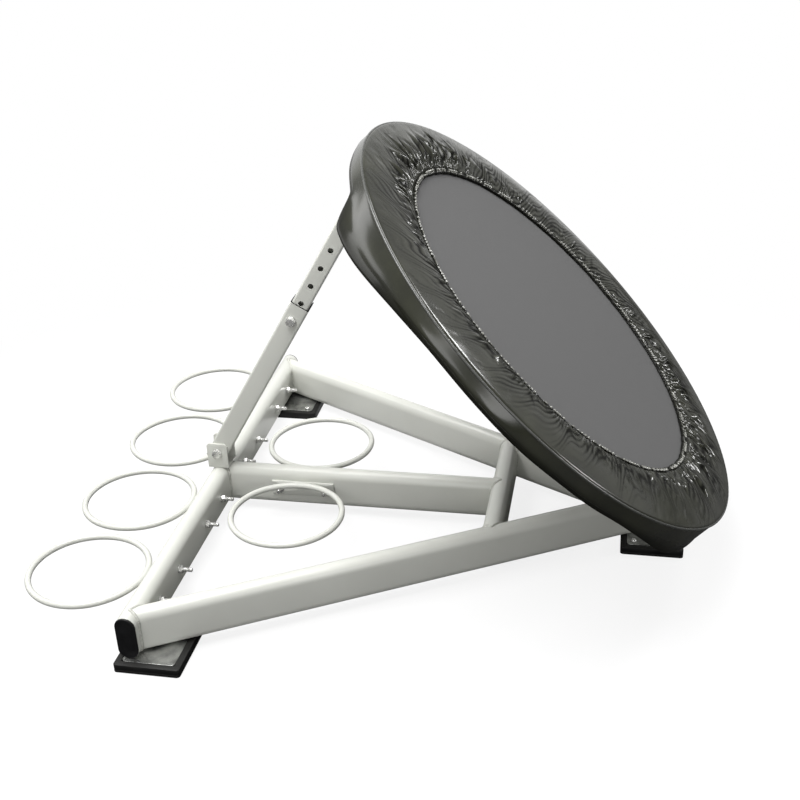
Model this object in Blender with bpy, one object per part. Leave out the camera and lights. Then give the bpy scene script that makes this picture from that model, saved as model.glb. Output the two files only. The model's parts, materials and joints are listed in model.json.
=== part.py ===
# Medicine ball rebounder: a tilted round trampoline on a triangular tube frame with six ball rings.
# Metres, +Z up. The thrower stands on the -Y side; the rear tube lies along X on the +Y side.
# The origin is on the floor, halfway between the foremost and rearmost points, in the plane of symmetry.

import bpy
import bmesh
import numpy as np
from math import radians, degrees, sin, cos, tan, pi, sqrt, atan2, hypot

# General clearance between pieces that touch
GAP = 0.0003

# Base frame: flat-sided oval tube, an equilateral triangle on three feet
TUBE_WIDTH = 0.038
TUBE_HEIGHT = 0.085
TUBE_WALL = 0.0025
TUBE_ARC_STEPS = 6
RAIL_INSET = 0.024               # side rail's centreline in from the rear tube's end
RAIL_ANGLE = radians(30)         # each side rail to the centreline
CROSS_TUBE_AHEAD = 0.596         # centreline of the front cross tube ahead of the rear tube
CAP_PLUG = 0.016
CAP_FLANGE = 0.003
CAP_BEVEL = 0.0012

# Feet: a rubber tray with a steel plate let into it
FOOT_LENGTH = 0.172
FOOT_WIDTH = 0.122
FOOT_HEIGHT = 0.0165             # the plate lies flush with the rubber's rim
FOOT_LIP = 0.012
FOOT_CORNER = 0.006
FOOT_EDGE = 0.0012
PLATE_THICKNESS = 0.004
REAR_FOOT_OVERHANG = 0.023       # foot beyond the end of the rear tube
REAR_FOOT_AHEAD = 0.0365         # foot centre ahead of the rear tube's centreline
SCREW_HEAD = 0.011
SCREW_HEAD_HEIGHT = 0.004
SCREW_SHANK = 0.005
SCREW_DEPTH = 0.008              # into the rubber
SCREW_INSET = 0.0135             # from the two nearest edges of the plate

# Ball rings: round rod welded to a flat plate, two bolts each
RING_OUTER_DIAMETER = 0.235
RING_ROD = 0.012
RING_HEIGHT = 0.0776             # rod's centre above the floor
RING_SPACING = 0.0205            # between neighbouring rings
RING_END_INSET = 0.16175         # outermost ring's centre in from the rear tube's end
RING_WELD = 0.0015               # rod let into its plate
RING_PLATE_LENGTH = 0.134
RING_PLATE_HEIGHT = 0.032
RING_PLATE_THICKNESS = 0.004
RING_BOLT_SPACING = 0.098
RING_BOLT_BELOW = 0.0176         # bolts below the rod's centre
INNER_RING_AHEAD = 0.180
INNER_RING_STANDOFF = 0.008
INNER_LUG_LENGTH = 0.030
RING_STEPS = 28
ROD_STEPS = 8

# Fasteners: metric bolts, nuts and washers
M8 = dict(shank=0.008, flats=0.013, head=0.0055, nut=0.0065, washer=0.017, washer_thickness=0.0016)
M10 = dict(shank=0.010, flats=0.017, head=0.0064, nut=0.008, washer=0.021, washer_thickness=0.002)
HOLE_CLEARANCE = 0.0006          # hole over shank, on the diameter
THREAD_OUT = 0.018               # thread showing beyond a ring bolt's nut
INNER_THREAD_OUT = 0.009
PIVOT_THREAD_OUT = 0.005

# Strut: an outer and an inner square tube
STRUT_PIVOT_HEIGHT = 0.136       # above the floor, on the rear tube's centreline
STRUT_OUTER = 0.040
STRUT_INNER = 0.035
STRUT_WALL = 0.0015
STRUT_CORNER = 0.003
OUTER_TAIL = 0.020
OUTER_LENGTH_UP = 0.394          # from the pivot to the outer tube's mouth
ADJUST_BELOW_MOUTH = 0.036
HOLE_PITCH = 0.043
HOLE_COUNT = 6
HOLE_DIAMETER = 0.0112
INNER_TAIL = 0.030               # inner tube below the adjusting bolt
INNER_HEAD = 0.015               # inner tube beyond its top pivot
BUSH_RIM = 0.0012
BUSH_LIP = 0.008
BUSH_LIP_WIDTH = 0.026

# Rear clevis on top of the rear tube
EAR_THICKNESS = 0.004
EAR_SIDE_GAP = 0.0007
CLEVIS_WIDTH = 0.044
CLEVIS_ABOVE_PIVOT = 0.022
CLEVIS_WEB = 0.004
CLEVIS_CORNER = 0.005

# Trampoline
TILT = radians(44.6)             # mat from the horizontal at rest
RING_FRAME_RADIUS = 0.450
RING_FRAME_TUBE = 0.030
RING_FRAME_WALL = 0.002
RING_FRAME_DROP = 0.011          # ring tube's centre below the mat
RING_FRAME_STEPS = 60
RING_FRAME_SIDES = 8
SOCKET_ANGLES = (60, 120, 240, 300)
SOCKET_DIAMETER = 0.027
SOCKET_BORE = 0.022
SOCKET_LENGTH = 0.056            # below the ring tube's centre
SPRING_SPAN = 0.088              # from the mat's edge to the ring tube's centre
MAT_THICKNESS = 0.002
MAT_STEPS = 72
HEM_WIDTH = 0.009
HEM_THICKNESS = 0.005
SPRING_COUNT = 36
SPRING_DIAMETER = 0.009
HINGE_BEYOND_APEX = 0.0076       # hinge ahead of the side rails' apex
HINGE_HEIGHT = 0.1245
HINGE_INSET = 0.054              # hinge inside the ring's centreline, along the mat
HINGE_DEPTH = 0.093              # hinge below the mat
TOP_PIVOT_INSET = 0.0243
TOP_PIVOT_DEPTH = 0.045
TOP_PIVOT_PLAY = 0.0035          # radial play round the top bolt
STRUT_END_CLEARANCE = 0.001      # strut's turning end to the bracket's web
LUG_WIDTH = 0.040
LUG_END_RADIUS = 0.015
HINGE_PLATE_LENGTH = 0.062
HINGE_PLATE_WIDTH = 0.070
HINGE_PLATE_THICKNESS = 0.004

# Frame pad: padded vinyl cover over the springs and the ring, with a skirt
PAD_ON_MAT = 0.0085              # inner hem beyond the mat's edge
PAD_OVERHANG = 0.0175            # skirt's outside beyond the ring tube
PAD_FOAM = 0.008
PAD_SKIN = 0.0022
PAD_ROLL = 0.016                 # width of the rolled inner hem
PAD_SHOULDER = 0.006             # width of the turn from the top to the skirt
PAD_SEGMENTS = 96
PAD_GATHER = 0.0012
SKIRT_TOP = 0.003                # skirt's seam below the mat
SKIRT_DEPTH = 0.031
SKIRT_THICKNESS = 0.006
SKIRT_TAPER = 0.001
SKIRT_EASE = 0.0015
SKIRT_DROP = 0.040               # extra depth of the skirt at the leg sockets
SKIRT_BULGE = 0.004
UPPER_LOBE = (121, 9, 36)        # deep stretch of the skirt: its angle, and the degrees before and after it
LOWER_LOBE = (240, 36, 40)


# Places that follow from the driving sizes
tube_radius = TUBE_WIDTH / 2
tube_centre_offset = TUBE_HEIGHT / 2 - tube_radius
foot_floor = FOOT_HEIGHT - PLATE_THICKNESS - GAP
tube_z = FOOT_HEIGHT + GAP + TUBE_HEIGHT / 2
tube_top = tube_z + TUBE_HEIGHT / 2
ring_pitch = RING_OUTER_DIAMETER + RING_SPACING
rear_tube_length = 3 * ring_pitch + 2 * RING_END_INSET
rail_x = rear_tube_length / 2 - RAIL_INSET
apex_ahead = rail_x / tan(RAIL_ANGLE)
hinge_ahead = apex_ahead + HINGE_BEYOND_APEX
ring_radius = (RING_OUTER_DIAMETER - RING_ROD) / 2
ring_standoff = tube_radius + GAP + RING_PLATE_THICKNESS - RING_WELD + RING_OUTER_DIAMETER / 2
ring_bolt_z = RING_HEIGHT - RING_BOLT_BELOW
adjust_bolt_up = OUTER_LENGTH_UP - ADJUST_BELOW_MOUTH
mat_radius = RING_FRAME_RADIUS - SPRING_SPAN
pad_inner = mat_radius - PAD_ON_MAT
pad_outer = RING_FRAME_RADIUS + RING_FRAME_TUBE / 2 + PAD_OVERHANG
mat_centre_up = RING_FRAME_RADIUS - HINGE_INSET
top_pivot_up = mat_centre_up + RING_FRAME_RADIUS - TOP_PIVOT_INSET
top_pivot_out = HINGE_DEPTH - TOP_PIVOT_DEPTH
pad_toe_up = mat_centre_up - pad_outer
front_reach = hinge_ahead - pad_toe_up * cos(TILT) + HINGE_DEPTH * sin(TILT)
rear_reach = ring_standoff + RING_OUTER_DIAMETER / 2
rear_y = (front_reach - rear_reach) / 2
hinge_point = np.array([0, rear_y - hinge_ahead, HINGE_HEIGHT])
strut_point = np.array([0, rear_y, STRUT_PIVOT_HEIGHT])
top_point = hinge_point + np.array([0, top_pivot_up * cos(TILT) - top_pivot_out * sin(TILT),
                                    top_pivot_up * sin(TILT) + top_pivot_out * cos(TILT)])
strut_length = hypot(*(top_point - strut_point)[1:])
strut_lean = atan2(strut_point[1] - top_point[1], top_point[2] - strut_point[2])


def clear_scene():
    for item in list(bpy.data.objects):
        bpy.data.objects.remove(item, do_unlink=True)


def srgb(red, green, blue):
    """A display colour, 0 to 255, as the linear values a shader takes."""
    values = np.array([red, green, blue]) / 255
    linear = np.where(values <= 0.04045, values / 12.92, ((values + 0.055) / 1.055) ** 2.4)
    return (*[float(v) for v in linear], 1.0)


def give_material(item, colour, roughness, metallic):
    material = bpy.data.materials.new(item.name + "_finish")
    material.use_nodes = True
    shader = material.node_tree.nodes["Principled BSDF"]
    shader.inputs["Base Color"].default_value = colour
    shader.inputs["Roughness"].default_value = roughness
    shader.inputs["Metallic"].default_value = metallic
    material.diffuse_color = colour
    item.data.materials.append(material)


POWDER_COAT = (srgb(203, 204, 198), 0.38, 0.0)
ZINC = (srgb(190, 192, 194), 0.30, 1.0)
BLACK_RUBBER = (srgb(26, 26, 25), 0.80, 0.0)
BLACK_PLASTIC = (srgb(24, 24, 25), 0.45, 0.0)
VINYL = (srgb(46, 46, 42), 0.28, 0.0)
MAT_CLOTH = (srgb(113, 113, 113), 0.75, 0.0)
SPRING_STEEL = (srgb(170, 172, 175), 0.32, 1.0)


# Outlines, as arrays of points in a plane
def circle(radius, count, phase=0.0):
    angle = np.linspace(0, 2 * pi, count, endpoint=False) + phase
    return np.column_stack([radius * np.cos(angle), radius * np.sin(angle)])


def hexagon(flats):
    """Corners and the middles of the flats, so that it has as many points as a bolt's circle."""
    angle = np.arange(12) * pi / 6
    reach = np.where(np.arange(12) % 2 == 0, flats / 2 / cos(pi / 6), flats / 2)
    return np.column_stack([reach * np.cos(angle), reach * np.sin(angle)])


def oval(width, height, steps=TUBE_ARC_STEPS):
    """Flat sides joined by half circles at the top and bottom."""
    radius = width / 2
    top = np.linspace(0, pi, steps + 1)
    rise = height / 2 - radius
    upper = np.column_stack([radius * np.cos(top), radius * np.sin(top) + rise])
    return np.vstack([upper, -upper])


def rounded_rectangle(width, height, radius, steps=2):
    corners = []
    for quarter, (sx, sy) in enumerate(((1, 1), (-1, 1), (-1, -1), (1, -1))):
        angle = quarter * pi / 2 + np.linspace(0, pi / 2, steps + 1)
        corners.append(np.column_stack([sx * (width / 2 - radius) + radius * np.cos(angle),
                                        sy * (height / 2 - radius) + radius * np.sin(angle)]))
    return np.vstack(corners)


def flat(outline, z):
    """An outline laid level at a height."""
    return np.column_stack([outline, np.full(len(outline), z)])


def upright(outline, x):
    """An outline of (y, z) points at one x."""
    return np.column_stack([np.full(len(outline), x), outline])


# Mesh building
def add_mesh(name, vertices, faces, finish=None, parent=None, at=(0, 0, 0), smooth=None):
    mesh = bpy.data.meshes.new(name)
    mesh.from_pydata([tuple(map(float, v)) for v in vertices], [], faces)
    work = bmesh.new()
    work.from_mesh(mesh)
    bmesh.ops.remove_doubles(work, verts=work.verts, dist=1e-6)
    bmesh.ops.recalc_face_normals(work, faces=work.faces)
    work.to_mesh(mesh)
    work.free()
    item = bpy.data.objects.new(name, mesh)
    bpy.context.scene.collection.objects.link(item)
    item.location = at
    item.parent = parent
    if finish:
        give_material(item, *finish)
    if smooth:
        mesh.shade_smooth()
        mesh.set_sharp_from_angle(angle=radians(smooth))
    return item


def loft(sections, loop=False):
    """Skin equal rings of points; the ends are capped, or joined to each other in a loop."""
    count = len(sections[0])
    vertices = np.vstack(sections)
    faces = []
    last = len(sections) if loop else len(sections) - 1
    for row in range(last):
        a, b = row * count, (row + 1) % len(sections) * count
        for k in range(count):
            n = (k + 1) % count
            faces.append((a + k, a + n, b + n, b + k))
    if not loop:
        faces.append(tuple(range(count))[::-1])
        faces.append(tuple(range(len(vertices) - count, len(vertices))))
    return vertices, faces


def block(low, high):
    (x0, y0, z0), (x1, y1, z1) = low, high
    outline = np.array([(x0, y0), (x1, y0), (x1, y1), (x0, y1)])
    return loft([flat(outline, z0), flat(outline, z1)])


def torus(radius, tube, steps, sides, z=0.0, phase=0.0):
    around = np.linspace(0, 2 * pi, steps, endpoint=False)
    section = circle(tube, sides, phase)
    rings = [np.column_stack([(radius + section[:, 0]) * cos(a), (radius + section[:, 0]) * sin(a),
                              section[:, 1] + z]) for a in around]
    return loft(rings, loop=True)


def drill_x(radius, length, y, z, count=8):
    """A cutter for a hole along X, whose flats lie at the hole's radius."""
    outline = circle(radius / cos(pi / count), count) + (y, z)
    return loft([upright(outline, side * length / 2) for side in (-1, 1)])


def drill_y(radius, length, x, z, y=0.0, count=8):
    ring = circle(radius / cos(pi / count), count) + (x, z)
    return loft([np.column_stack([ring[:, 0], np.full(count, y + side * length / 2), ring[:, 1]])
                 for side in (1, -1)])


def cut(item, name, solid, operation="DIFFERENCE"):
    """Cut a solid out of an object, or join it on, with a live Boolean."""
    tool = add_mesh(f"{item.name}_{name}_guide", *solid, parent=item.parent)
    tool.hide_render = True
    tool.display_type = 'WIRE'
    modifier = item.modifiers.new(name, 'BOOLEAN')
    modifier.operation = operation
    modifier.solver = 'EXACT'
    modifier.object = tool


# Base frame tubes
def level_tube(start, end, start_plane, end_plane):
    """A level oval tube between two points in plan, cut off at each end by a plane: a point and its normal."""
    start, end = np.array(start, float), np.array(end, float)
    along = (end - start) / np.linalg.norm(end - start)
    across = np.array([-along[1], along[0]])
    ends = []
    for outline in (oval(TUBE_WIDTH, TUBE_HEIGHT), oval(TUBE_WIDTH - 2 * TUBE_WALL, TUBE_HEIGHT - 2 * TUBE_WALL)):
        lines = start + np.outer(outline[:, 0], across)
        for point, normal in (start_plane, end_plane):
            travel = (np.array(point) - lines) @ normal / (along @ normal)
            ends.append(np.column_stack([lines + np.outer(travel, along), tube_z + outline[:, 1]]))
    outer_start, outer_end, inner_start, inner_end = ends
    return loft([outer_start, outer_end, inner_end, inner_start], loop=True)


def beside(point, direction, side):
    """The plane that a tube ends on when it is welded to the flat side of another one."""
    direction = np.array(direction, float) / np.linalg.norm(direction)
    normal = np.array([-direction[1], direction[0]]) * side
    return np.array(point) + normal * (tube_radius + GAP), normal


def make_base_frame():
    rear = (0.0, rear_y)
    half = rear_tube_length / 2
    facing_front = beside(rear, (1, 0), -1)
    ends = [(np.array([x, rear_y]), np.array([1.0, 0.0])) for x in (-half, half)]
    rear_tube = add_mesh("rear_cross_tube", *level_tube((-half, rear_y), (half, rear_y), *ends),
                         POWDER_COAT, smooth=35)
    hole = (M8["shank"] + HOLE_CLEARANCE) / 2
    for number, x in enumerate(ring_bolt_xs()):
        cut(rear_tube, f"bolt_hole_{number + 1}",
            drill_y(hole, TUBE_WIDTH * 2, x, ring_bolt_z, rear_y))

    cross_y = rear_y - CROSS_TUBE_AHEAD
    for name, side in (("side_rail_left", -1), ("side_rail_right", 1)):
        mitre = (np.array([side * GAP / 2, 0]), np.array([1.0, 0.0]))
        add_mesh(name, *level_tube((side * rail_x, rear_y), (0, rear_y - apex_ahead), facing_front, mitre),
                 POWDER_COAT, smooth=35)

    centre_rail = add_mesh("centre_rail",
                           *level_tube(rear, (0, cross_y), facing_front, beside((0, cross_y), (1, 0), 1)),
                           POWDER_COAT, smooth=35)
    for number, y in enumerate(inner_bolt_ys()):
        cut(centre_rail, f"bolt_hole_{number + 1}",
            drill_x(hole, TUBE_WIDTH * 2, y, ring_bolt_z))

    run = (sin(RAIL_ANGLE), -cos(RAIL_ANGLE))
    ends = [beside((-rail_x, rear_y), run, 1), beside((rail_x, rear_y), (-run[0], run[1]), -1)]
    add_mesh("front_cross_tube", *level_tube((-rail_x / 2, cross_y), (rail_x / 2, cross_y), *ends),
             POWDER_COAT, smooth=35)

    for name, side in (("end_cap_left", -1), ("end_cap_right", 1)):
        bore = oval(TUBE_WIDTH - 2 * TUBE_WALL - 2 * GAP, TUBE_HEIGHT - 2 * TUBE_WALL - 2 * GAP)
        face = oval(TUBE_WIDTH, TUBE_HEIGHT)
        rim = oval(TUBE_WIDTH - 2 * CAP_BEVEL, TUBE_HEIGHT - 2 * CAP_BEVEL)
        end = half + GAP
        steps = ((bore, half - CAP_PLUG), (bore, end), (face, end), (face, end + CAP_FLANGE - CAP_BEVEL),
                 (rim, end + CAP_FLANGE))
        add_mesh(name, *loft([upright(outline + (rear_y, tube_z), side * x) for outline, x in steps]),
                 BLACK_PLASTIC, smooth=35)


# Feet
def make_foot(name, centre, screws):
    """A rubber tray, the steel plate that lies in it and screws in the plate's chosen corners."""
    x, y = centre
    outer = rounded_rectangle(FOOT_LENGTH, FOOT_WIDTH, FOOT_CORNER) + (x, y)
    edge = rounded_rectangle(FOOT_LENGTH - 2 * FOOT_EDGE, FOOT_WIDTH - 2 * FOOT_EDGE, FOOT_CORNER) + (x, y)
    inner = rounded_rectangle(FOOT_LENGTH - 2 * FOOT_LIP, FOOT_WIDTH - 2 * FOOT_LIP, FOOT_CORNER) + (x, y)
    tray = add_mesh(f"rubber_foot_{name}",
                    *loft([flat(outer, 0), flat(outer, FOOT_HEIGHT - FOOT_EDGE), flat(edge, FOOT_HEIGHT),
                           flat(inner, FOOT_HEIGHT), flat(inner, foot_floor)]), BLACK_RUBBER)
    steel = rounded_rectangle(FOOT_LENGTH - 2 * FOOT_LIP - 2 * GAP, FOOT_WIDTH - 2 * FOOT_LIP - 2 * GAP,
                              FOOT_CORNER) + (x, y)
    plate = add_mesh(f"foot_plate_{name}", *loft([flat(steel, foot_floor + GAP), flat(steel, FOOT_HEIGHT)]),
                     POWDER_COAT)
    hole = SCREW_SHANK / 2 + GAP
    corner = np.array([FOOT_LENGTH, FOOT_WIDTH]) / 2 - FOOT_LIP - GAP - SCREW_INSET
    for number, signs in enumerate(screws):
        place = (x, y) + corner * signs
        shaft = circle(hole, 10) + place
        cut(plate, f"screw_hole_{number + 1}", loft([flat(shaft, 0), flat(shaft, FOOT_HEIGHT * 2)]))
        cut(tray, f"screw_hole_{number + 1}",
            loft([flat(shaft, foot_floor - SCREW_DEPTH - GAP), flat(shaft, FOOT_HEIGHT)]))
        shank, head = circle(SCREW_SHANK / 2, 10) + place, circle(SCREW_HEAD / 2, 10) + place
        crown = circle(SCREW_HEAD / 3, 10) + place
        seat = FOOT_HEIGHT + GAP
        add_mesh(f"foot_screw_{name}_{number + 1}",
                 *loft([flat(shank, foot_floor - SCREW_DEPTH), flat(shank, seat), flat(head, seat),
                        flat(head, seat + SCREW_HEAD_HEIGHT / 2), flat(crown, seat + SCREW_HEAD_HEIGHT)]),
                 ZINC, smooth=35)


def make_feet():
    rear_x = rear_tube_length / 2 + REAR_FOOT_OVERHANG - FOOT_LENGTH / 2
    for name, side in (("left", -1), ("right", 1)):
        make_foot(name, (side * rear_x, rear_y - REAR_FOOT_AHEAD), [(-side, -1)])
    make_foot("front", (0, rear_y - apex_ahead), [(-1, 1), (1, 1)])


# Fasteners
def turned(steps, origin, axis, spin=0.0, loop=False):
    """A solid of circles and hexagons along a line: each step is an outline of 12 points and a distance."""
    axis = np.array(axis, float)
    side = np.array([0, 0, 1.0]) if abs(axis[2]) < 0.5 else np.array([1.0, 0, 0])
    other = np.cross(axis, side)
    sections = []
    for outline, distance in steps:
        u = outline[:, 0] * cos(spin) - outline[:, 1] * sin(spin)
        v = outline[:, 0] * sin(spin) + outline[:, 1] * cos(spin)
        sections.append(np.array(origin) + axis * distance + np.outer(u, side) + np.outer(v, other))
    return loft(sections, loop)


def bolt_steps(size, start):
    """The head and its washer, seated at a distance, from the top of the head inwards."""
    washer = circle(size["washer"] / 2, 12)
    head = hexagon(size["flats"])
    seat = start - size["washer_thickness"]
    return [(head, seat - size["head"]), (head, seat), (washer, seat), (washer, start),
            (circle(size["shank"] / 2, 12), start)]


def nut_steps(size, start, hole):
    """A washer and a nut seated at a distance, round a shank or a hole."""
    washer, nut = circle(size["washer"] / 2, 12), hexagon(size["flats"])
    seat = start + size["washer_thickness"]
    outer = seat + size["nut"]
    return [(hole, start), (washer, start), (washer, seat), (nut, seat), (nut, outer), (hole, outer)]


def thread_steps(size, start, thread_out):
    """A washer and a nut with the thread's end beyond them."""
    shank = circle(size["shank"] / 2, 12)
    steps = nut_steps(size, start, shank)
    return steps + [(shank, steps[-1][1] + thread_out)]


def pivot_bolt(prefix, size, half_width, y, z, parent):
    """A bolt along X through both ears, with its nut as a piece of its own on the far side."""
    near, far = -half_width - GAP, half_width + GAP
    shank = circle(size["shank"] / 2, 12)
    reach = far + size["washer_thickness"] + size["nut"] + PIVOT_THREAD_OUT
    steps = bolt_steps(size, near) + [(shank, reach)]
    add_mesh(f"{prefix}_bolt", *turned(steps, (0, y, z), (1, 0, 0)), ZINC, parent, smooth=35)
    steps = nut_steps(size, far, circle(size["shank"] / 2 + GAP, 12))
    add_mesh(f"{prefix}_nut", *turned(steps, (0, y, z), (1, 0, 0), loop=True), ZINC, parent, smooth=35)


# Ball rings
def ring_centres_x():
    return [ring_pitch * step for step in (-1.5, -0.5, 0.5, 1.5)]


def ring_bolt_xs():
    return [x + side * RING_BOLT_SPACING / 2 for x in ring_centres_x() for side in (-1, 1)]


def inner_bolt_ys():
    return [rear_y - INNER_RING_AHEAD + side * RING_BOLT_SPACING / 2 for side in (-1, 1)]


def make_ball_ring(name, tube_point, outward, standoff):
    """A ring beside a tube: outward points level from the tube's centreline at the ring's middle."""
    outward = np.array([*outward, 0.0])
    along = np.array([-outward[1], outward[0], 0.0])
    base = np.array([*tube_point, 0.0])

    def place(solid):
        vertices, faces = solid
        return base + np.outer(vertices[:, 0], along) + np.outer(vertices[:, 1], outward) \
            + np.outer(vertices[:, 2], (0, 0, 1)), faces

    reach = ring_standoff + standoff
    vertices, faces = torus(ring_radius, RING_ROD / 2, RING_STEPS, ROD_STEPS, RING_HEIGHT)
    ring = add_mesh(name, *place((vertices + (0, reach, 0), faces)), POWDER_COAT, smooth=50)
    plate_low = tube_radius + GAP
    half = RING_PLATE_LENGTH / 2
    plate = block((-half, plate_low, RING_HEIGHT - RING_PLATE_HEIGHT),
                  (half, plate_low + RING_PLATE_THICKNESS, RING_HEIGHT))
    cut(ring, "plate", place(plate), 'UNION')
    if standoff:
        lug = block((-INNER_LUG_LENGTH / 2, plate_low + RING_PLATE_THICKNESS / 2, RING_HEIGHT - RING_ROD / 2),
                    (INNER_LUG_LENGTH / 2, reach - ring_radius, RING_HEIGHT - RING_ROD / 8))
        cut(ring, "lug", place(lug), 'UNION')
    hole = (M8["shank"] + HOLE_CLEARANCE) / 2
    for number, side in enumerate((-1, 1)):
        shaft = drill_y(hole, RING_PLATE_THICKNESS * 4, side * RING_BOLT_SPACING / 2, ring_bolt_z,
                           plate_low + RING_PLATE_THICKNESS / 2)
        cut(ring, f"bolt_hole_{number + 1}", place(shaft))


def make_ball_rings():
    for number, x in enumerate(ring_centres_x()):
        make_ball_ring(f"ball_ring_rear_{number + 1}", (x, rear_y), (0, 1), 0)
    inner_y = rear_y - INNER_RING_AHEAD
    for name, side in (("left", -1), ("right", 1)):
        make_ball_ring(f"ball_ring_inner_{name}", (0, inner_y), (side, 0), INNER_RING_STANDOFF)

    outside = tube_radius + GAP + RING_PLATE_THICKNESS + GAP
    inside = tube_radius + GAP
    for number, x in enumerate(ring_bolt_xs()):
        steps = bolt_steps(M8, -outside) + thread_steps(M8, inside, THREAD_OUT)
        add_mesh(f"ring_bolt_{number + 1}", *turned(steps, (x, rear_y, ring_bolt_z), (0, -1, 0)),
                 ZINC, smooth=35)
    for number, y in enumerate(inner_bolt_ys()):
        steps = bolt_steps(M8, -outside) + thread_steps(M8, outside, INNER_THREAD_OUT)
        add_mesh(f"inner_ring_bolt_{number + 1}", *turned(steps, (0, y, ring_bolt_z), (-1, 0, 0)),
                 ZINC, smooth=35)


# Strut
def make_clevis():
    """A U bracket whose web lies on the round top of the rear tube."""
    half = CLEVIS_WIDTH / 2
    base, top = tube_top + GAP, STRUT_PIVOT_HEIGHT + CLEVIS_ABOVE_PIVOT
    inner_half = STRUT_OUTER / 2 + EAR_SIDE_GAP
    outer_half = inner_half + EAR_THICKNESS
    corner = half - CLEVIS_CORNER
    outline = np.array([(-half, base), (half, base), (half, top - CLEVIS_CORNER), (corner, top),
                        (-corner, top), (-half, top - CLEVIS_CORNER)]) + (rear_y, 0)
    clevis = add_mesh("strut_clevis", *loft([upright(outline, -outer_half), upright(outline, outer_half)]),
                      POWDER_COAT)
    cut(clevis, "slot", block((-inner_half, rear_y - CLEVIS_WIDTH, base + CLEVIS_WEB),
                              (inner_half, rear_y + CLEVIS_WIDTH, top * 2)))
    hole = (M10["shank"] + HOLE_CLEARANCE) / 2
    cut(clevis, "bore", drill_x(hole, outer_half * 4, rear_y, STRUT_PIVOT_HEIGHT))
    pivot_bolt("strut_pivot", M10, outer_half, rear_y, STRUT_PIVOT_HEIGHT, None)


def square_tube(size, low, high):
    outer = rounded_rectangle(size, size, STRUT_CORNER)
    inner = rounded_rectangle(size - 2 * STRUT_WALL, size - 2 * STRUT_WALL, STRUT_CORNER - STRUT_WALL)
    return loft([flat(outer, low), flat(outer, high), flat(inner, high), flat(inner, low)], loop=True)


def make_strut():
    """Built upright along its own Z from the lower pivot, and leaned by the empty that carries it."""
    carrier = bpy.data.objects.new("strut_axis", None)
    bpy.context.scene.collection.objects.link(carrier)
    carrier.location = strut_point
    carrier.rotation_euler = (strut_lean, 0, 0)

    across = STRUT_OUTER * 2
    pivot_hole = (M10["shank"] + HOLE_CLEARANCE) / 2
    outer = add_mesh("strut_outer_tube", *square_tube(STRUT_OUTER, -OUTER_TAIL, OUTER_LENGTH_UP),
                     POWDER_COAT, carrier, smooth=35)
    cut(outer, "pivot_hole", drill_x(pivot_hole, across, 0, 0))
    cut(outer, "adjust_hole", drill_x(pivot_hole, across, 0, adjust_bolt_up))

    inner = add_mesh("strut_inner_tube",
                     *square_tube(STRUT_INNER, adjust_bolt_up - INNER_TAIL, strut_length + INNER_HEAD),
                     POWDER_COAT, carrier, smooth=35)
    for number in range(HOLE_COUNT):
        cut(inner, f"hole_{number + 1}",
            drill_x(HOLE_DIAMETER / 2, across, 0, adjust_bolt_up + number * HOLE_PITCH))
    cut(inner, "top_hole", drill_x(pivot_hole, across, 0, strut_length))

    # The bush lies on the outer tube's mouth round the inner tube, with a raised lip in front
    low = OUTER_LENGTH_UP + GAP
    outline = rounded_rectangle(STRUT_OUTER, STRUT_OUTER, STRUT_CORNER)
    window = rounded_rectangle(STRUT_INNER + 2 * GAP, STRUT_INNER + 2 * GAP, STRUT_CORNER)
    bush = add_mesh("strut_bush", *loft([flat(outline, low), flat(outline, low + BUSH_RIM),
                                         flat(window, low + BUSH_RIM), flat(window, low)], loop=True),
                    BLACK_PLASTIC, carrier)
    lip = block((-BUSH_LIP_WIDTH / 2, -STRUT_OUTER / 2, low + BUSH_RIM / 2),
                (BUSH_LIP_WIDTH / 2, -STRUT_INNER / 2 - GAP, low + BUSH_LIP))
    cut(bush, "lip", lip, 'UNION')

    # The adjusting bolt and nut are seated in the outer tube's walls
    wall_outside, wall_inside = STRUT_OUTER / 2 + GAP, STRUT_INNER / 2 + GAP
    shank = circle(M10["shank"] / 2, 12)
    steps = bolt_steps(M10, -wall_outside) + [(shank, -wall_inside)]
    add_mesh("adjusting_bolt", *turned(steps, (0, 0, adjust_bolt_up), (1, 0, 0), pi / 12), ZINC, carrier,
             smooth=35)
    steps = [(shank, wall_inside)] + thread_steps(M10, wall_outside, PIVOT_THREAD_OUT)
    add_mesh("adjusting_nut", *turned(steps, (0, 0, adjust_bolt_up), (1, 0, 0), pi / 12), ZINC, carrier,
             smooth=35)

    ear_half = STRUT_INNER / 2 + EAR_SIDE_GAP + EAR_THICKNESS
    pivot_bolt("strut_top", M10, ear_half, 0, strut_length, carrier)


# Trampoline, built level round the hinge and tilted by the empty that carries it
def ring_tube(radius, sides=RING_FRAME_SIDES):
    """The frame ring's round tube, or its bore, or the clearance that a welded bracket keeps to it."""
    vertices, faces = torus(RING_FRAME_RADIUS, radius, RING_FRAME_STEPS, sides,
                            HINGE_DEPTH - RING_FRAME_DROP, pi / sides)
    return vertices + (0, mat_centre_up, 0), faces


def ring_seat():
    return ring_tube(RING_FRAME_TUBE / 2 + GAP / cos(pi / RING_FRAME_SIDES))


def side_outline(points, half_width):
    """A plate shape of (along the mat, away from it) points, as thick as the bracket is wide."""
    outline = np.array(points, float)
    return loft([upright(outline, -half_width), upright(outline, half_width)])


def rounded_end(centre, radius, start, stop, steps=6):
    angle = np.radians(np.linspace(start, stop, steps))
    return [(centre[0] + radius * cos(a), centre[1] + radius * sin(a)) for a in angle]


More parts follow.
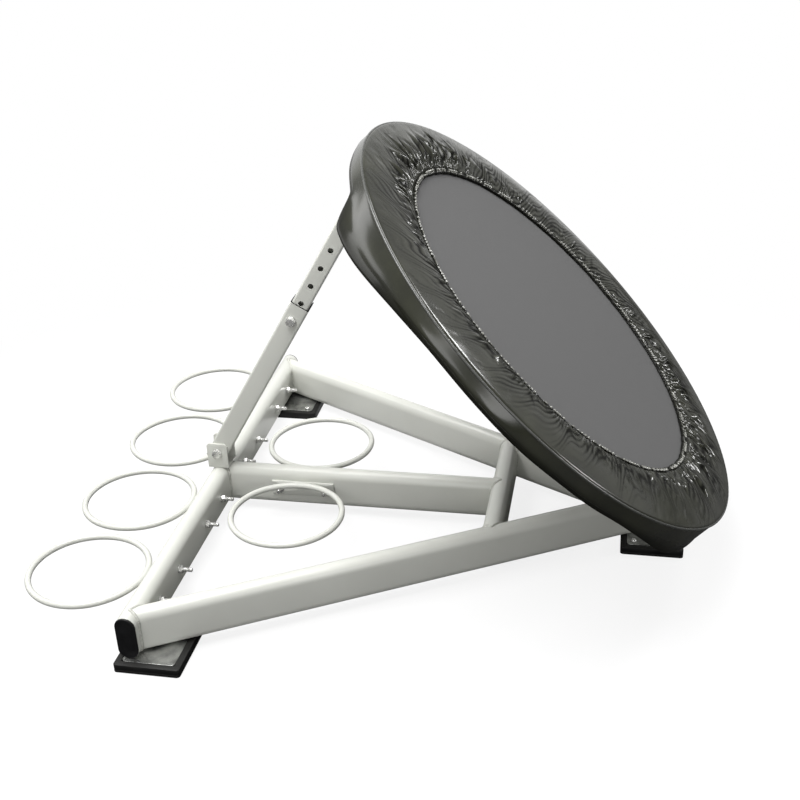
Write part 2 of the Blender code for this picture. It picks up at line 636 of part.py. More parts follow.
def make_ring_frame(carrier):
    """A hollow ring tube with four leg sockets under it, whose bores run up into the tube."""
    z = HINGE_DEPTH - RING_FRAME_DROP
    end = z - SOCKET_LENGTH
    places = [(RING_FRAME_RADIUS * cos(radians(angle)), RING_FRAME_RADIUS * sin(radians(angle)) + mat_centre_up)
              for angle in SOCKET_ANGLES]
    frame = add_mesh("ring_frame", *ring_tube(RING_FRAME_TUBE / 2), POWDER_COAT, carrier, smooth=50)
    for number, place in enumerate(places):
        wall = circle(SOCKET_DIAMETER / 2, 10) + place
        cut(frame, f"socket_{number + 1}", loft([flat(wall, end), flat(wall, z)]), 'UNION')
    cut(frame, "tube_bore", ring_tube(RING_FRAME_TUBE / 2 - RING_FRAME_WALL, 6))
    for number, place in enumerate(places):
        bore = circle(SOCKET_BORE / 2, 10) + place
        cut(frame, f"socket_bore_{number + 1}", loft([flat(bore, end - SOCKET_LENGTH), flat(bore, z)]))


def make_brackets(carrier):
    ring_z = HINGE_DEPTH - RING_FRAME_DROP
    hole = (M10["shank"] + HOLE_CLEARANCE) / 2
    seat_z = ring_z - RING_FRAME_TUBE / 8     # the plates' edges, before the ring's seat is cut out of them

    # Top bracket: two ears and a web under the ring, round the strut's inner tube
    inner_half = STRUT_INNER / 2 + EAR_SIDE_GAP
    outer_half = inner_half + EAR_THICKNESS
    ring_y = mat_centre_up + RING_FRAME_RADIUS
    pivot = (top_pivot_up, top_pivot_out)
    radius = LUG_END_RADIUS
    points = [(ring_y + radius / 2, seat_z), (pivot[0] - radius, seat_z)]
    points += rounded_end(pivot, radius, 180, 300)
    points += [(ring_y + radius / 2, ring_z - RING_FRAME_TUBE / 2)]
    bracket = add_mesh("top_bracket", *side_outline(points, outer_half), POWDER_COAT, carrier)
    web_bottom = pivot[1] + hypot(INNER_HEAD, STRUT_INNER / 2) + STRUT_END_CLEARANCE
    cut(bracket, "slot", block((-inner_half, pivot[0] - 2 * radius, 0), (inner_half, ring_y + 2 * radius, web_bottom)))
    cut(bracket, "ring_seat", ring_seat())
    cut(bracket, "bore", drill_x(M10["shank"] / 2 + TOP_PIVOT_PLAY, outer_half * 4, *pivot))

    # Hinge lug: a stout plate from the bottom of the ring back to the hinge
    lug_half = LUG_WIDTH / 2
    ring_y = mat_centre_up - RING_FRAME_RADIUS
    points = [(ring_y - radius / 3, seat_z)]
    points += rounded_end((0, 0), radius, 215, 395, 8)
    points += [(ring_y + RING_FRAME_TUBE, seat_z)]
    lug = add_mesh("hinge_lug", *side_outline(points, lug_half), POWDER_COAT, carrier)
    cut(lug, "ring_seat", ring_seat())
    cut(lug, "bore", drill_x(hole, lug_half * 4, 0, 0))

    # Hinge bracket: a plate on the rails' apex with an ear on each side of the lug
    y, z = hinge_point[1:]
    ear_inner = lug_half + EAR_SIDE_GAP
    ear_outer = ear_inner + EAR_THICKNESS
    base = tube_top + GAP
    length = HINGE_PLATE_LENGTH / 2
    hinge = add_mesh("hinge_bracket",
                     *block((-HINGE_PLATE_WIDTH / 2, y - length, base),
                            (HINGE_PLATE_WIDTH / 2, y + length, base + HINGE_PLATE_THICKNESS)), POWDER_COAT)
    for name, side in (("left", -1), ("right", 1)):
        ear = [(y + radius, base + HINGE_PLATE_THICKNESS / 2)] + rounded_end((y, z), radius, 0, 180, 7)
        ear += [(y - radius, base + HINGE_PLATE_THICKNESS / 2)]
        xs = sorted((side * ear_inner, side * ear_outer))
        cut(hinge, f"ear_{name}", loft([upright(np.array(ear), x) for x in xs]), 'UNION')
    cut(hinge, "bore", drill_x(hole, ear_outer * 4, y, z))
    pivot_bolt("hinge", M10, ear_outer, y, z, None)


def make_mat(carrier):
    outline = circle(mat_radius, MAT_STEPS) + (0, mat_centre_up)
    add_mesh("mat", *loft([flat(outline, HINGE_DEPTH - MAT_THICKNESS / 2),
                           flat(outline, HINGE_DEPTH + MAT_THICKNESS / 2)]), MAT_CLOTH, carrier)

    # The hem's steel rings and the springs hooked into them are one piece
    hem_inner = mat_radius + GAP
    around = np.linspace(0, 2 * pi, MAT_STEPS, endpoint=False)
    section = np.array([(hem_inner, -1), (hem_inner + HEM_WIDTH, -1), (hem_inner + HEM_WIDTH, 1), (hem_inner, 1)])
    section = section * (1, HEM_THICKNESS / 2)
    rings = [np.column_stack([section[:, 0] * cos(a), section[:, 0] * sin(a) + mat_centre_up,
                              section[:, 1] + HINGE_DEPTH]) for a in around]
    springs = add_mesh("spring_set", *loft(rings, loop=True), SPRING_STEEL, carrier, smooth=40)
    tube = RING_FRAME_TUBE / 2
    lowest = RING_FRAME_DROP - SPRING_DIAMETER / 2
    outer_end = RING_FRAME_RADIUS - sqrt(tube ** 2 - lowest ** 2) - GAP * 2
    inner_end = hem_inner + HEM_WIDTH / 2
    coil = circle(SPRING_DIAMETER / 2, 5, pi / 2)
    vertices, faces = [], []
    for number in range(SPRING_COUNT):
        a = (number + 0.5) * 2 * pi / SPRING_COUNT
        outward, sideways = np.array([cos(a), sin(a), 0]), np.array([-sin(a), cos(a), 0])
        centre = np.array([0, mat_centre_up, HINGE_DEPTH])
        ends = [centre + outward * reach + np.outer(coil[:, 0], sideways) + np.outer(coil[:, 1], (0, 0, 1))
                for reach in (inner_end, outer_end)]
        some, skin = loft(ends)
        faces += [tuple(k + len(vertices) for k in face) for face in skin]
        vertices += list(some)
    cut(springs, "springs", (np.array(vertices), faces), 'UNION')


def swell(angle, centre, before, after):
    """1 at a centre angle, falling smoothly to 0 over the degrees before and after it."""
    delta = (angle - centre + 180) % 360 - 180
    span = np.where(delta < 0, before, after)
    return 0.5 + 0.5 * np.cos(pi * np.clip(delta / span, -1, 1))


def make_frame_pad(carrier):
    """A padded ring: crowned over the springs, gathered at its inner hem, with a skirt outside."""
    angle = np.arange(PAD_SEGMENTS) * 360 / PAD_SEGMENTS
    mirrored = np.where(np.cos(np.radians(angle)) > 0, 180 - angle, angle) % 360
    lobes = np.maximum(swell(mirrored, *UPPER_LOBE), swell(mirrored, *LOWER_LOBE))
    depth = SKIRT_DEPTH + SKIRT_DROP * lobes
    gather = PAD_GATHER * np.where(np.arange(PAD_SEGMENTS) % 2, 1, -1)
    top = RING_FRAME_TUBE / 2 - RING_FRAME_DROP
    under = max(top, SPRING_DIAMETER / 2, HEM_THICKNESS / 2) + 2 * GAP
    over = under + PAD_FOAM
    tube_side = RING_FRAME_RADIUS + RING_FRAME_TUBE / 2
    inside = tube_side + SKIRT_EASE
    lie = MAT_THICKNESS / 2 + GAP
    level = np.zeros(PAD_SEGMENTS)
    middle = (pad_inner + pad_outer) / 2
    hem = pad_outer - SKIRT_TAPER + SKIRT_BULGE * lobes
    # The section from the inner hem over the crown and down the skirt, then back under the foam
    profile = [
        (pad_inner + level, lie + level),
        (pad_inner + level, lie + PAD_SKIN + 0.2 * (gather + PAD_GATHER)),
        (pad_inner + PAD_ROLL + level, over - 0.25 * PAD_FOAM + gather),
        (middle + level, over + 0.12 * PAD_FOAM + 0.5 * gather),
        (RING_FRAME_RADIUS + level, over - 0.1 * PAD_FOAM + level),
        (pad_outer - PAD_SHOULDER + level, over - 0.9 * PAD_FOAM + level),
        (pad_outer + level, level - SKIRT_TOP),
        (hem, -depth),
        (hem - SKIRT_THICKNESS, -depth),
        (inside + level, level - 0.4 * SKIRT_DEPTH),
        (inside + level, under - PAD_SKIN + level),
        (tube_side - PAD_SHOULDER + level, under + level),
        (mat_radius + PAD_ON_MAT / 2 + level, under + level),
    ]
    turn = np.radians(angle)
    rows = [np.column_stack([radius * np.cos(turn), radius * np.sin(turn) + mat_centre_up, height + HINGE_DEPTH])
            for radius, height in profile]
    add_mesh("frame_pad", *loft([np.array(section) for section in np.stack(rows, axis=1)], loop=True),
             VINYL, carrier, smooth=60)


def make_trampoline():
    carrier = bpy.data.objects.new("tilt_axis", None)
    bpy.context.scene.collection.objects.link(carrier)
    carrier.location = hinge_point
    carrier.rotation_euler = (TILT, 0, 0)
    make_ring_frame(carrier)
    make_brackets(carrier)
    make_mat(carrier)
    make_frame_pad(carrier)


def main():
    clear_scene()
    make_base_frame()
    make_feet()
    make_ball_rings()
    make_clevis()
    make_strut()
    make_trampoline()
    print("rear tube at y", round(rear_y, 5), "hinge", hinge_point.round(5), "strut pivot", strut_point.round(5))
    print("top pivot", top_point.round(5), "strut length", round(strut_length, 5),
          "lean", round(degrees(strut_lean), 3))


main()
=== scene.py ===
import json
import bpy
import bmesh
import numpy as np
from math import radians, cos, sin, tan, pi
from mathutils import Matrix


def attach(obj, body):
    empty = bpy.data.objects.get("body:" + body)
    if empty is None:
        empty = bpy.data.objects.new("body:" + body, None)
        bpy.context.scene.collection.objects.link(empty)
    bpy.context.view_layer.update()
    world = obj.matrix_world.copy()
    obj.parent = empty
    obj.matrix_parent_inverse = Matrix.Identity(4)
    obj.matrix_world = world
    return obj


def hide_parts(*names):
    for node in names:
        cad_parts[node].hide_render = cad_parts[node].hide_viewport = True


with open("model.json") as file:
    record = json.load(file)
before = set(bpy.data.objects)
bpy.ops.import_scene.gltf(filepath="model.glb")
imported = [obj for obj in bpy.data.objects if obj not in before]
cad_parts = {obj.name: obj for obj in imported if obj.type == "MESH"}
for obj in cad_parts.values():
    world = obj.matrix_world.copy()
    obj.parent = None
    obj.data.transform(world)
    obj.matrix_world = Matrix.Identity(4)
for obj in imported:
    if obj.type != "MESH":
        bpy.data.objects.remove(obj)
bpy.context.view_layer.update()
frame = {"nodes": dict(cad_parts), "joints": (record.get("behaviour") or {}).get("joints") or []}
rng = np.random.default_rng(11)
gap = 0.0003                      # the frame's own clearance between touching pieces
print("frame loaded with", len(frame["nodes"]), "nodes")


# Grids and meshes

def gridFaces(rows, cols, wrapRows=False, wrapCols=True):
    # quads between neighbouring points of a grid, joined round where it closes on itself
    r = np.arange(rows if wrapRows else rows - 1)[:, None]
    c = np.arange(cols if wrapCols else cols - 1)[None, :]
    ahead, beside = (r + 1) % rows, (c + 1) % cols
    return np.stack([r * cols + c, r * cols + beside, ahead * cols + beside, ahead * cols + c], -1).reshape(-1, 4)


def gridShape(points, wrapRows=False, wrapCols=True):
    # a grid of points (rows, columns, 3) as one list of points and one of quads
    rows, cols = points.shape[:2]
    return points.reshape(-1, 3), gridFaces(rows, cols, wrapRows, wrapCols)


def joined(shapes):
    # several shapes as one
    starts = np.cumsum([0] + [len(points) for points, faces in shapes[:-1]])
    return (np.concatenate([points for points, faces in shapes]),
            np.concatenate([faces + start for (points, faces), start in zip(shapes, starts)]))


def addPiece(name, shape, finish, body, replaced=(), smoothAngle=40, turnOut=True, tone=None):
    # merges the seams and poles of a shape, turns its faces outwards and sets it on its body
    points, faces = shape
    mesh = bpy.data.meshes.new(name)
    mesh.from_pydata(np.asarray(points, float), [], faces.tolist())
    # tone, when given, is kept as a point attribute of painted shade and painted highlight
    if tone is not None:
        mesh.attributes.new("paintedShadeAndHighlight", "FLOAT", "POINT").data.foreach_set("value", np.ascontiguousarray(tone, np.float32))
    work = bmesh.new()
    work.from_mesh(mesh)
    bmesh.ops.remove_doubles(work, verts=work.verts, dist=2e-6)
    if turnOut:
        bmesh.ops.recalc_face_normals(work, faces=work.faces)
    work.to_mesh(mesh)
    work.free()
    mesh.shade_smooth()
    mesh.set_sharp_from_angle(angle=radians(smoothAngle))
    piece = bpy.data.objects.new(name, mesh)
    bpy.context.scene.collection.objects.link(piece)
    return dressPiece(piece, finish, body, replaced)


def dressPiece(piece, finish, body, replaced=()):
    piece.data.materials.clear()
    piece.data.materials.append(finish)
    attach(piece, body)
    if replaced:
        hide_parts(*replaced)
    return piece


def swept(path, radii, sides, ref, closed=False, squash=1.0, phase=0.0):
    # a round section carried along a path: its plane is square to the path, and ref sets where it starts
    path = np.asarray(path, float)
    along = np.roll(path, -1, 0) - np.roll(path, 1, 0) if closed else np.gradient(path, axis=0)
    along /= np.linalg.norm(along, axis=1, keepdims=True)
    across = np.cross(along, np.broadcast_to(ref, along.shape))
    across /= np.linalg.norm(across, axis=1, keepdims=True)
    rise = np.cross(across, along)
    turn = np.linspace(0, 2 * pi, sides, endpoint=False) + phase
    radii = np.broadcast_to(radii, len(path))[:, None, None]
    grid = path[:, None] + radii * (np.cos(turn)[None, :, None] * across[:, None]
                                    + squash * np.sin(turn)[None, :, None] * rise[:, None])
    if closed:
        return gridShape(grid, wrapRows=True)
    ends = [np.repeat(path[k][None, None], sides, 1) for k in (0, -1)]
    return gridShape(np.concatenate([ends[0], grid, ends[1]]))


def ovalOutline(width, height, steps=18):
    # flat sides joined by half circles at the top and bottom
    turn = np.linspace(0, pi, steps + 1)
    upper = np.column_stack([width / 2 * np.cos(turn), width / 2 * np.sin(turn) + (height - width) / 2])
    return np.vstack([upper, -upper])


def roundedOutline(width, height, radius, steps=6):
    # a rectangle whose corners are quarter circles
    turn = np.linspace(0, pi / 2, steps + 1)
    signs = ((1, 1), (-1, 1), (-1, -1), (1, -1))
    return np.vstack([np.column_stack([sx * (width / 2 - radius) + radius * np.cos(turn + quarter * pi / 2),
                                       sy * (height / 2 - radius) + radius * np.sin(turn + quarter * pi / 2)])
                      for quarter, (sx, sy) in enumerate(signs)])


def smoothStep(low, high, value):
    # 0 below low, 1 above high, with a soft S between them
    t = np.clip((value - low) / (high - low), 0, 1)
    return t * t * (3 - 2 * t)


def waver(turn, waves, seed):
    # a smooth closed random line: a few sine waves of random size and phase round the full turn
    dice = np.random.default_rng(seed)
    sizes, phases = dice.normal(size=len(waves)), dice.uniform(0, 2 * pi, len(waves))
    total = sum(size * np.sin(count * turn + phase) for size, count, phase in zip(sizes, waves, phases))
    return total / np.sqrt(len(waves))


# Finishes

def paint(red, green, blue):
    # a display colour from 0 to 255 as the linear values a shader takes
    values = np.array([red, green, blue]) / 255
    linear = np.where(values <= 0.04045, values / 12.92, ((values + 0.055) / 1.055) ** 2.4)
    return (*[float(v) for v in linear], 1.0)


def newGroup(name, inputs, outputs):
    group = bpy.data.node_groups.new(name, "ShaderNodeTree")
    for label, kind, value in inputs:
        socket = group.interface.new_socket(label, in_out="INPUT", socket_type=kind)
        if value is not None:
            socket.default_value = value
    for label, kind in outputs:
        group.interface.new_socket(label, in_out="OUTPUT", socket_type=kind)
    return group, group.nodes.new("NodeGroupInput"), group.nodes.new("NodeGroupOutput")


def mathNode(tree, operation, first, second=None, third=None):
    node = tree.nodes.new("ShaderNodeMath")
    node.operation = operation
    for socket, value in zip(node.inputs, (first, second, third)):
        if value is None:
            continue
        if isinstance(value, (int, float)):
            socket.default_value = value
        else:
            tree.links.new(value, socket)
    return node.outputs[0]


def makeGrainGroup():
    # two layers of noise, coarse and fine, as a height and as a tone from 0 to 1
    group, source, result = newGroup(
        "surfaceGrain",
        [("Vector", "NodeSocketVector", None), ("Coarse Scale", "NodeSocketFloat", 60.0),
         ("Fine Scale", "NodeSocketFloat", 700.0), ("Fine Share", "NodeSocketFloat", 0.5)],
        [("Height", "NodeSocketFloat"), ("Tone", "NodeSocketFloat")])
    layers = []
    for label, detail in (("Coarse Scale", 3.0), ("Fine Scale", 2.0)):
        noise = group.nodes.new("ShaderNodeTexNoise")
        noise.inputs["Detail"].default_value = detail
        group.links.new(source.outputs["Vector"], noise.inputs["Vector"])
        group.links.new(source.outputs[label], noise.inputs["Scale"])
        layers.append(noise.outputs["Fac"])
    spread = mathNode(group, "SUBTRACT", layers[1], layers[0])
    height = mathNode(group, "MULTIPLY_ADD", spread, source.outputs["Fine Share"], layers[0])
    group.links.new(height, result.inputs["Height"])
    tone = group.nodes.new("ShaderNodeMapRange")
    tone.inputs["From Min"].default_value, tone.inputs["From Max"].default_value = 0.35, 0.65
    group.links.new(layers[0], tone.inputs["Value"])
    group.links.new(tone.outputs[0], result.inputs["Tone"])
    return group


def makeSettledDustGroup():
    # a mask that is stronger where the surface faces up, broken by noise
    group, source, result = newGroup(
        "settledDust", [("Vector", "NodeSocketVector", None), ("Scale", "NodeSocketFloat", 20.0),
                        ("Amount", "NodeSocketFloat", 0.2)], [("Mask", "NodeSocketFloat")])
    geometry = group.nodes.new("ShaderNodeNewGeometry")
    split = group.nodes.new("ShaderNodeSeparateXYZ")
    group.links.new(geometry.outputs["Normal"], split.inputs[0])
    up = mathNode(group, "MAXIMUM", split.outputs["Z"], 0.0)
    noise = group.nodes.new("ShaderNodeTexNoise")
    noise.inputs["Detail"].default_value = 4.0
    group.links.new(source.outputs["Vector"], noise.inputs["Vector"])
    group.links.new(source.outputs["Scale"], noise.inputs["Scale"])
    broken = mathNode(group, "MULTIPLY", up, noise.outputs["Fac"])
    group.links.new(mathNode(group, "MULTIPLY", broken, source.outputs["Amount"]), result.inputs["Mask"])
    return group


def makeWeaveGroup():
    # threads over and under each other: the higher of two crossed sine ridges, from the piece's own UV in metres
    group, source, result = newGroup(
        "plainWeave", [("Vector", "NodeSocketVector", None), ("Threads", "NodeSocketFloat", 600.0)],
        [("Height", "NodeSocketFloat"), ("Tone", "NodeSocketFloat")])
    split = group.nodes.new("ShaderNodeSeparateXYZ")
    group.links.new(source.outputs["Vector"], split.inputs[0])
    ridges = []
    for across, along in (("X", "Y"), ("Y", "X")):
        turn = mathNode(group, "MULTIPLY", mathNode(group, "MULTIPLY", split.outputs[across],
                                                    source.outputs["Threads"]), 2 * pi)
        slow = mathNode(group, "MULTIPLY", mathNode(group, "MULTIPLY", split.outputs[along],
                                                    source.outputs["Threads"]), pi)
        ridge = mathNode(group, "MULTIPLY_ADD", mathNode(group, "SINE", turn), 0.5, 0.5)
        ridges.append(mathNode(group, "MULTIPLY", ridge, mathNode(group, "ABSOLUTE", mathNode(group, "SINE", slow))))
    height = mathNode(group, "MAXIMUM", ridges[0], ridges[1])
    group.links.new(height, result.inputs["Height"])
    noise = group.nodes.new("ShaderNodeTexNoise")
    noise.inputs["Scale"].default_value = 40.0
    group.links.new(source.outputs["Vector"], noise.inputs["Vector"])
    group.links.new(noise.outputs["Fac"], result.inputs["Tone"])
    return group


grainGroup = makeGrainGroup()
dustGroup = makeSettledDustGroup()
weaveGroup = makeWeaveGroup()


def groupNode(tree, group, vector, **values):
    node = tree.nodes.new("ShaderNodeGroup")
    node.node_tree = group
    tree.links.new(vector, node.inputs["Vector"])
    for label, value in values.items():
        node.inputs[label.replace("_", " ")].default_value = value
    return node


def paintGatherShadeAndHighlight(tree, colour, look):
    # the piece's attribute of painted light: below 0 painted shade in a valley or crease, darker and dull, above 0 a
    # painted highlight on the crest of a bead
    tone = tree.nodes.new("ShaderNodeAttribute")
    tone.attribute_name = "paintedShadeAndHighlight"
    paintedShade = mathNode(tree, "MULTIPLY", mathNode(tree, "MAXIMUM", mathNode(tree, "MULTIPLY", tone.outputs["Fac"], -1.0), 0.0),
                    look["paintedShadeStrength"])
    paintedHighlightShare = mathNode(tree, "MULTIPLY", mathNode(tree, "MAXIMUM", tone.outputs["Fac"], 0.0), look["paintedHighlight"])
    # painted shade mixes towards near black, painted highlight towards a pale highlight colour
    for share, other in ((paintedShade, paint(6, 6, 5)), (paintedHighlightShare, look["paintedHighlightColour"])):
        blend = tree.nodes.new("ShaderNodeMix")
        blend.data_type = "RGBA"
        tree.links.new(share, blend.inputs["Factor"])
        tree.links.new(colour, blend.inputs["A"])
        blend.inputs["B"].default_value = other
        colour = blend.outputs["Result"]
    return colour, paintedShade


def newFinish(name, look):
    # a Principled surface: two close colours by grain, roughness by grain, dust on top and a fine bump
    material = bpy.data.materials.new(name)
    material.use_nodes = True
    tree = material.node_tree
    shader = tree.nodes["Principled BSDF"]
    coords = tree.nodes.new("ShaderNodeTexCoord").outputs["Object"]
    grain = groupNode(tree, grainGroup, coords, Coarse_Scale=look["patchScale"], Fine_Scale=look["grainScale"],
                      Fine_Share=look["grainShare"])
    dust = groupNode(tree, dustGroup, coords, Scale=look.get("dustScale", 18.0), Amount=look.get("dust", 0.0))
    blend = tree.nodes.new("ShaderNodeMix")
    blend.data_type = "RGBA"
    blend.inputs["A"].default_value, blend.inputs["B"].default_value = look["colour"], look["otherColour"]
    tree.links.new(grain.outputs["Tone"], blend.inputs["Factor"])
    cover = tree.nodes.new("ShaderNodeMix")
    cover.data_type = "RGBA"
    cover.inputs["B"].default_value = look.get("dustColour", paint(190, 188, 180))
    tree.links.new(dust.outputs["Mask"], cover.inputs["Factor"])
    tree.links.new(blend.outputs["Result"], cover.inputs["A"])
    colour = cover.outputs["Result"]
    low, high = look["roughness"]
    rough = mathNode(tree, "MULTIPLY_ADD", grain.outputs["Tone"], high - low, low)
    if "paintedShadeStrength" in look:
        # the shine of a gathered cover is its coat, so that it can fade where painted shade darkens the valleys
        colour, paintedShade = paintGatherShadeAndHighlight(tree, colour, look)
        tree.links.new(mathNode(tree, "MULTIPLY_ADD", paintedShade, -look["coat"], look["coat"]), shader.inputs["Coat Weight"])
        shader.inputs["Coat Roughness"].default_value = look["coatRoughness"]
    tree.links.new(colour, shader.inputs["Base Color"])
    tree.links.new(rough, shader.inputs["Roughness"])
    shader.inputs["Specular IOR Level"].default_value = look.get("specular", 0.5)
    shader.inputs["Metallic"].default_value = look.get("metallic", 0.0)
    bump = tree.nodes.new("ShaderNodeBump")
    bump.inputs["Strength"].default_value = look["bump"]
    bump.inputs["Distance"].default_value = look["bumpDepth"]
    tree.links.new(grain.outputs["Height"], bump.inputs["Height"])
    tree.links.new(bump.outputs["Normal"], shader.inputs["Normal"])
    material.diffuse_color = look["colour"]
    return material


powderCoat = newFinish("powderCoat", {
    "colour": paint(210, 211, 204), "otherColour": paint(206, 207, 200), "roughness": (0.28, 0.33),
    "patchScale": 9.0, "grainScale": 650.0, "grainShare": 0.5, "bump": 0.14, "bumpDepth": 0.0005, "dust": 0.06})
weldCoat = newFinish("weldCoat", {
    "colour": paint(200, 201, 194), "otherColour": paint(178, 178, 170), "roughness": (0.32, 0.5),
    "patchScale": 220.0, "grainScale": 700.0, "grainShare": 0.3, "bump": 0.6, "bumpDepth": 0.0008, "dust": 0.1})
# the plates' steel colour varies in patches down to near black: partly random tone, partly painted dark reflections
footSteel = newFinish("footSteel", {
    "colour": paint(180, 181, 178), "otherColour": paint(48, 49, 48), "roughness": (0.1, 0.24), "metallic": 0.8,
    "patchScale": 24.0, "grainScale": 500.0, "grainShare": 0.4, "bump": 0.25, "bumpDepth": 0.0012})
zincPlate = newFinish("zincPlate", {
    "colour": paint(232, 232, 229), "otherColour": paint(208, 208, 205), "roughness": (0.2, 0.32),
    "patchScale": 180.0, "grainScale": 1500.0, "grainShare": 0.4, "bump": 0.15, "bumpDepth": 0.0003,
    "metallic": 0.75})
springWire = newFinish("springWire", {
    "colour": paint(180, 182, 185), "otherColour": paint(140, 142, 146), "roughness": (0.25, 0.4),
    "patchScale": 120.0, "grainScale": 1800.0, "grainShare": 0.5, "bump": 0.1, "bumpDepth": 0.0003,
    "metallic": 1.0})
footRubber = newFinish("footRubber", {
    "colour": paint(12, 12, 12), "otherColour": paint(20, 20, 19), "roughness": (0.5, 0.7), "specular": 0.25,
    "patchScale": 30.0, "grainScale": 1200.0, "grainShare": 0.6, "bump": 0.4, "bumpDepth": 0.0006, "dust": 0.03})
capPlastic = newFinish("capPlastic", {
    "colour": paint(11, 11, 13), "otherColour": paint(18, 18, 20), "roughness": (0.34, 0.46), "specular": 0.3,
    "patchScale": 60.0, "grainScale": 1600.0, "grainShare": 0.6, "bump": 0.3, "bumpDepth": 0.0004, "dust": 0.02})
# the tufts' light colour is a painted highlight: the glints on the hem's small bulges
tuftPaintedHighlight = newFinish("tuftPaintedHighlight", {
    "colour": paint(146, 146, 139), "otherColour": paint(106, 106, 101), "roughness": (0.14, 0.24), "specular": 0.8,
    "patchScale": 160.0, "grainScale": 1500.0, "grainShare": 0.4, "bump": 0.3, "bumpDepth": 0.0003})
# the cover's last entries set the painted shade of its valleys and the painted highlight of its bead crests
vinylCover = newFinish("vinylCover", {
    "colour": paint(44, 45, 34), "otherColour": paint(34, 35, 27), "roughness": (0.4, 0.5), "specular": 0.04,
    "coat": 0.88, "coatRoughness": 0.16, "patchScale": 14.0, "grainScale": 650.0, "grainShare": 0.35, "bump": 0.2, "bumpDepth": 0.0006,
    "paintedShadeStrength": 0.92, "paintedHighlight": 0.6, "paintedHighlightColour": paint(190, 190, 182)})


pipingVinyl = newFinish("pipingVinyl", {
    "colour": paint(72, 73, 69), "otherColour": paint(62, 63, 60), "roughness": (0.22, 0.3), "specular": 0.75,
    "patchScale": 30.0, "grainScale": 900.0, "grainShare": 0.35, "bump": 0.2, "bumpDepth": 0.0004})


def newMatCloth(look):
    # woven plastic threads: the weave bumps the surface and darkens the gaps between threads
    material = bpy.data.materials.new("matCloth")
    material.use_nodes = True
    tree = material.node_tree
    shader = tree.nodes["Principled BSDF"]
    uv = tree.nodes.new("ShaderNodeUVMap")
    uv.uv_map = "flatCloth"
    weave = groupNode(tree, weaveGroup, uv.outputs["UV"], Threads=look["threads"])
    blend = tree.nodes.new("ShaderNodeMix")
    blend.data_type = "RGBA"
    blend.inputs["A"].default_value, blend.inputs["B"].default_value = look["gapColour"], look["colour"]
    share = mathNode(tree, "MULTIPLY_ADD", weave.outputs["Height"], 0.5, 0.5)
    tree.links.new(mathNode(tree, "MULTIPLY_ADD", weave.outputs["Tone"], 0.12, share), blend.inputs["Factor"])
    tree.links.new(blend.outputs["Result"], shader.inputs["Base Color"])
    tree.links.new(mathNode(tree, "MULTIPLY_ADD", weave.outputs["Height"], -0.15, look["roughness"]),
                   shader.inputs["Roughness"])
    shader.inputs["Specular IOR Level"].default_value = look["specular"]
    bump = tree.nodes.new("ShaderNodeBump")
    bump.inputs["Strength"].default_value = 0.4
    bump.inputs["Distance"].default_value = look["depth"]
    tree.links.new(weave.outputs["Height"], bump.inputs["Height"])
    tree.links.new(bump.outputs["Normal"], shader.inputs["Normal"])
    return material


matCloth = newMatCloth({"colour": paint(94, 94, 94), "gapColour": paint(75, 75, 75), "threads": 560.0,
                        "roughness": 0.78, "specular": 0.2, "depth": 0.0004})
print("finishes made")


# Camera, lamps and floor

view = {"place": (-2.0548, -0.41955, 1.3388), "right": (0.182165, -0.982666, -0.034399),
        "up": (0.451502, 0.052518, 0.890723), "lens": 52.69}
cameraData = bpy.data.cameras.new("camera")
cameraData.lens = view["lens"]
cameraData.sensor_width = 36.0
camera = bpy.data.objects.new("camera", cameraData)
back = np.cross(view["right"], view["up"])
pose = np.eye(4)
pose[:3, 0], pose[:3, 1], pose[:3, 2], pose[:3, 3] = view["right"], view["up"], back, view["place"]
camera.matrix_world = Matrix(pose.tolist())
bpy.context.scene.collection.objects.link(camera)
bpy.context.scene.camera = camera

studio = {"ambient": 0.22, "dimSide": 0.48, "sweepFacing": (0.944, 0.325, 0.06), "sweepEdge": (0.78, 0.92),
          "floorColour": 0.17, "floorMirrored": 0.07, "whiteFrom": 0.8, "whiteAt": 1.5, "lamps": {     # lamps: place, aimed at, size, watts
              "overheadLamp": ((-0.4, 0.6, 3.1), (0.0, 0.0, 0.2), (2.6, 2.2), 142.0),
              "cameraSideLamp": ((-3.0, 1.0, 2.0), (0.0, 0.0, 0.3), (1.2, 1.2), 17.0),
              "lowCameraLamp": ((-3.1, -0.8, 1.0), (0.0, -0.2, 0.4), (1.4, 0.7), 13.0),
              "stripLamp": ((1.8, -2.16, 2.35), (0.0, -0.3, 0.5), (0.4, 1.0), 35.0),
              "toeLamp": ((0.75, -3.1, 1.2), (0.0, -0.5, 0.3), (0.5, 0.5), 20.0),
              "backLamp": ((0.1, 2.9, 1.8), (-0.3, 0.0, 0.6), (2.6, 0.7), 20.0)}}


def addLamp(name, place, target, size, watts):
    data = bpy.data.lights.new(name, "AREA")
    data.shape = "RECTANGLE"
    data.size, data.size_y = size
    data.energy = watts
    lamp = bpy.data.objects.new(name, data)
    away = np.array(place) - np.array(target)
    away = away / np.linalg.norm(away)
    side = np.cross((0, 0.02, 1), away)
    side = side / np.linalg.norm(side)
    stand = np.eye(4)
    stand[:3, 0], stand[:3, 1], stand[:3, 2], stand[:3, 3] = side, np.cross(away, side), away, place
    lamp.matrix_world = Matrix(stand.tolist())
    bpy.context.scene.collection.objects.link(lamp)


for lampName, settings in studio["lamps"].items():
    addLamp(lampName, *settings)

world = bpy.data.worlds.new("studio")
bpy.context.scene.world = world
world.use_nodes = True
tree = world.node_tree
sky = tree.nodes["Background"]
sky.inputs["Color"].default_value = (1, 1, 1, 1)


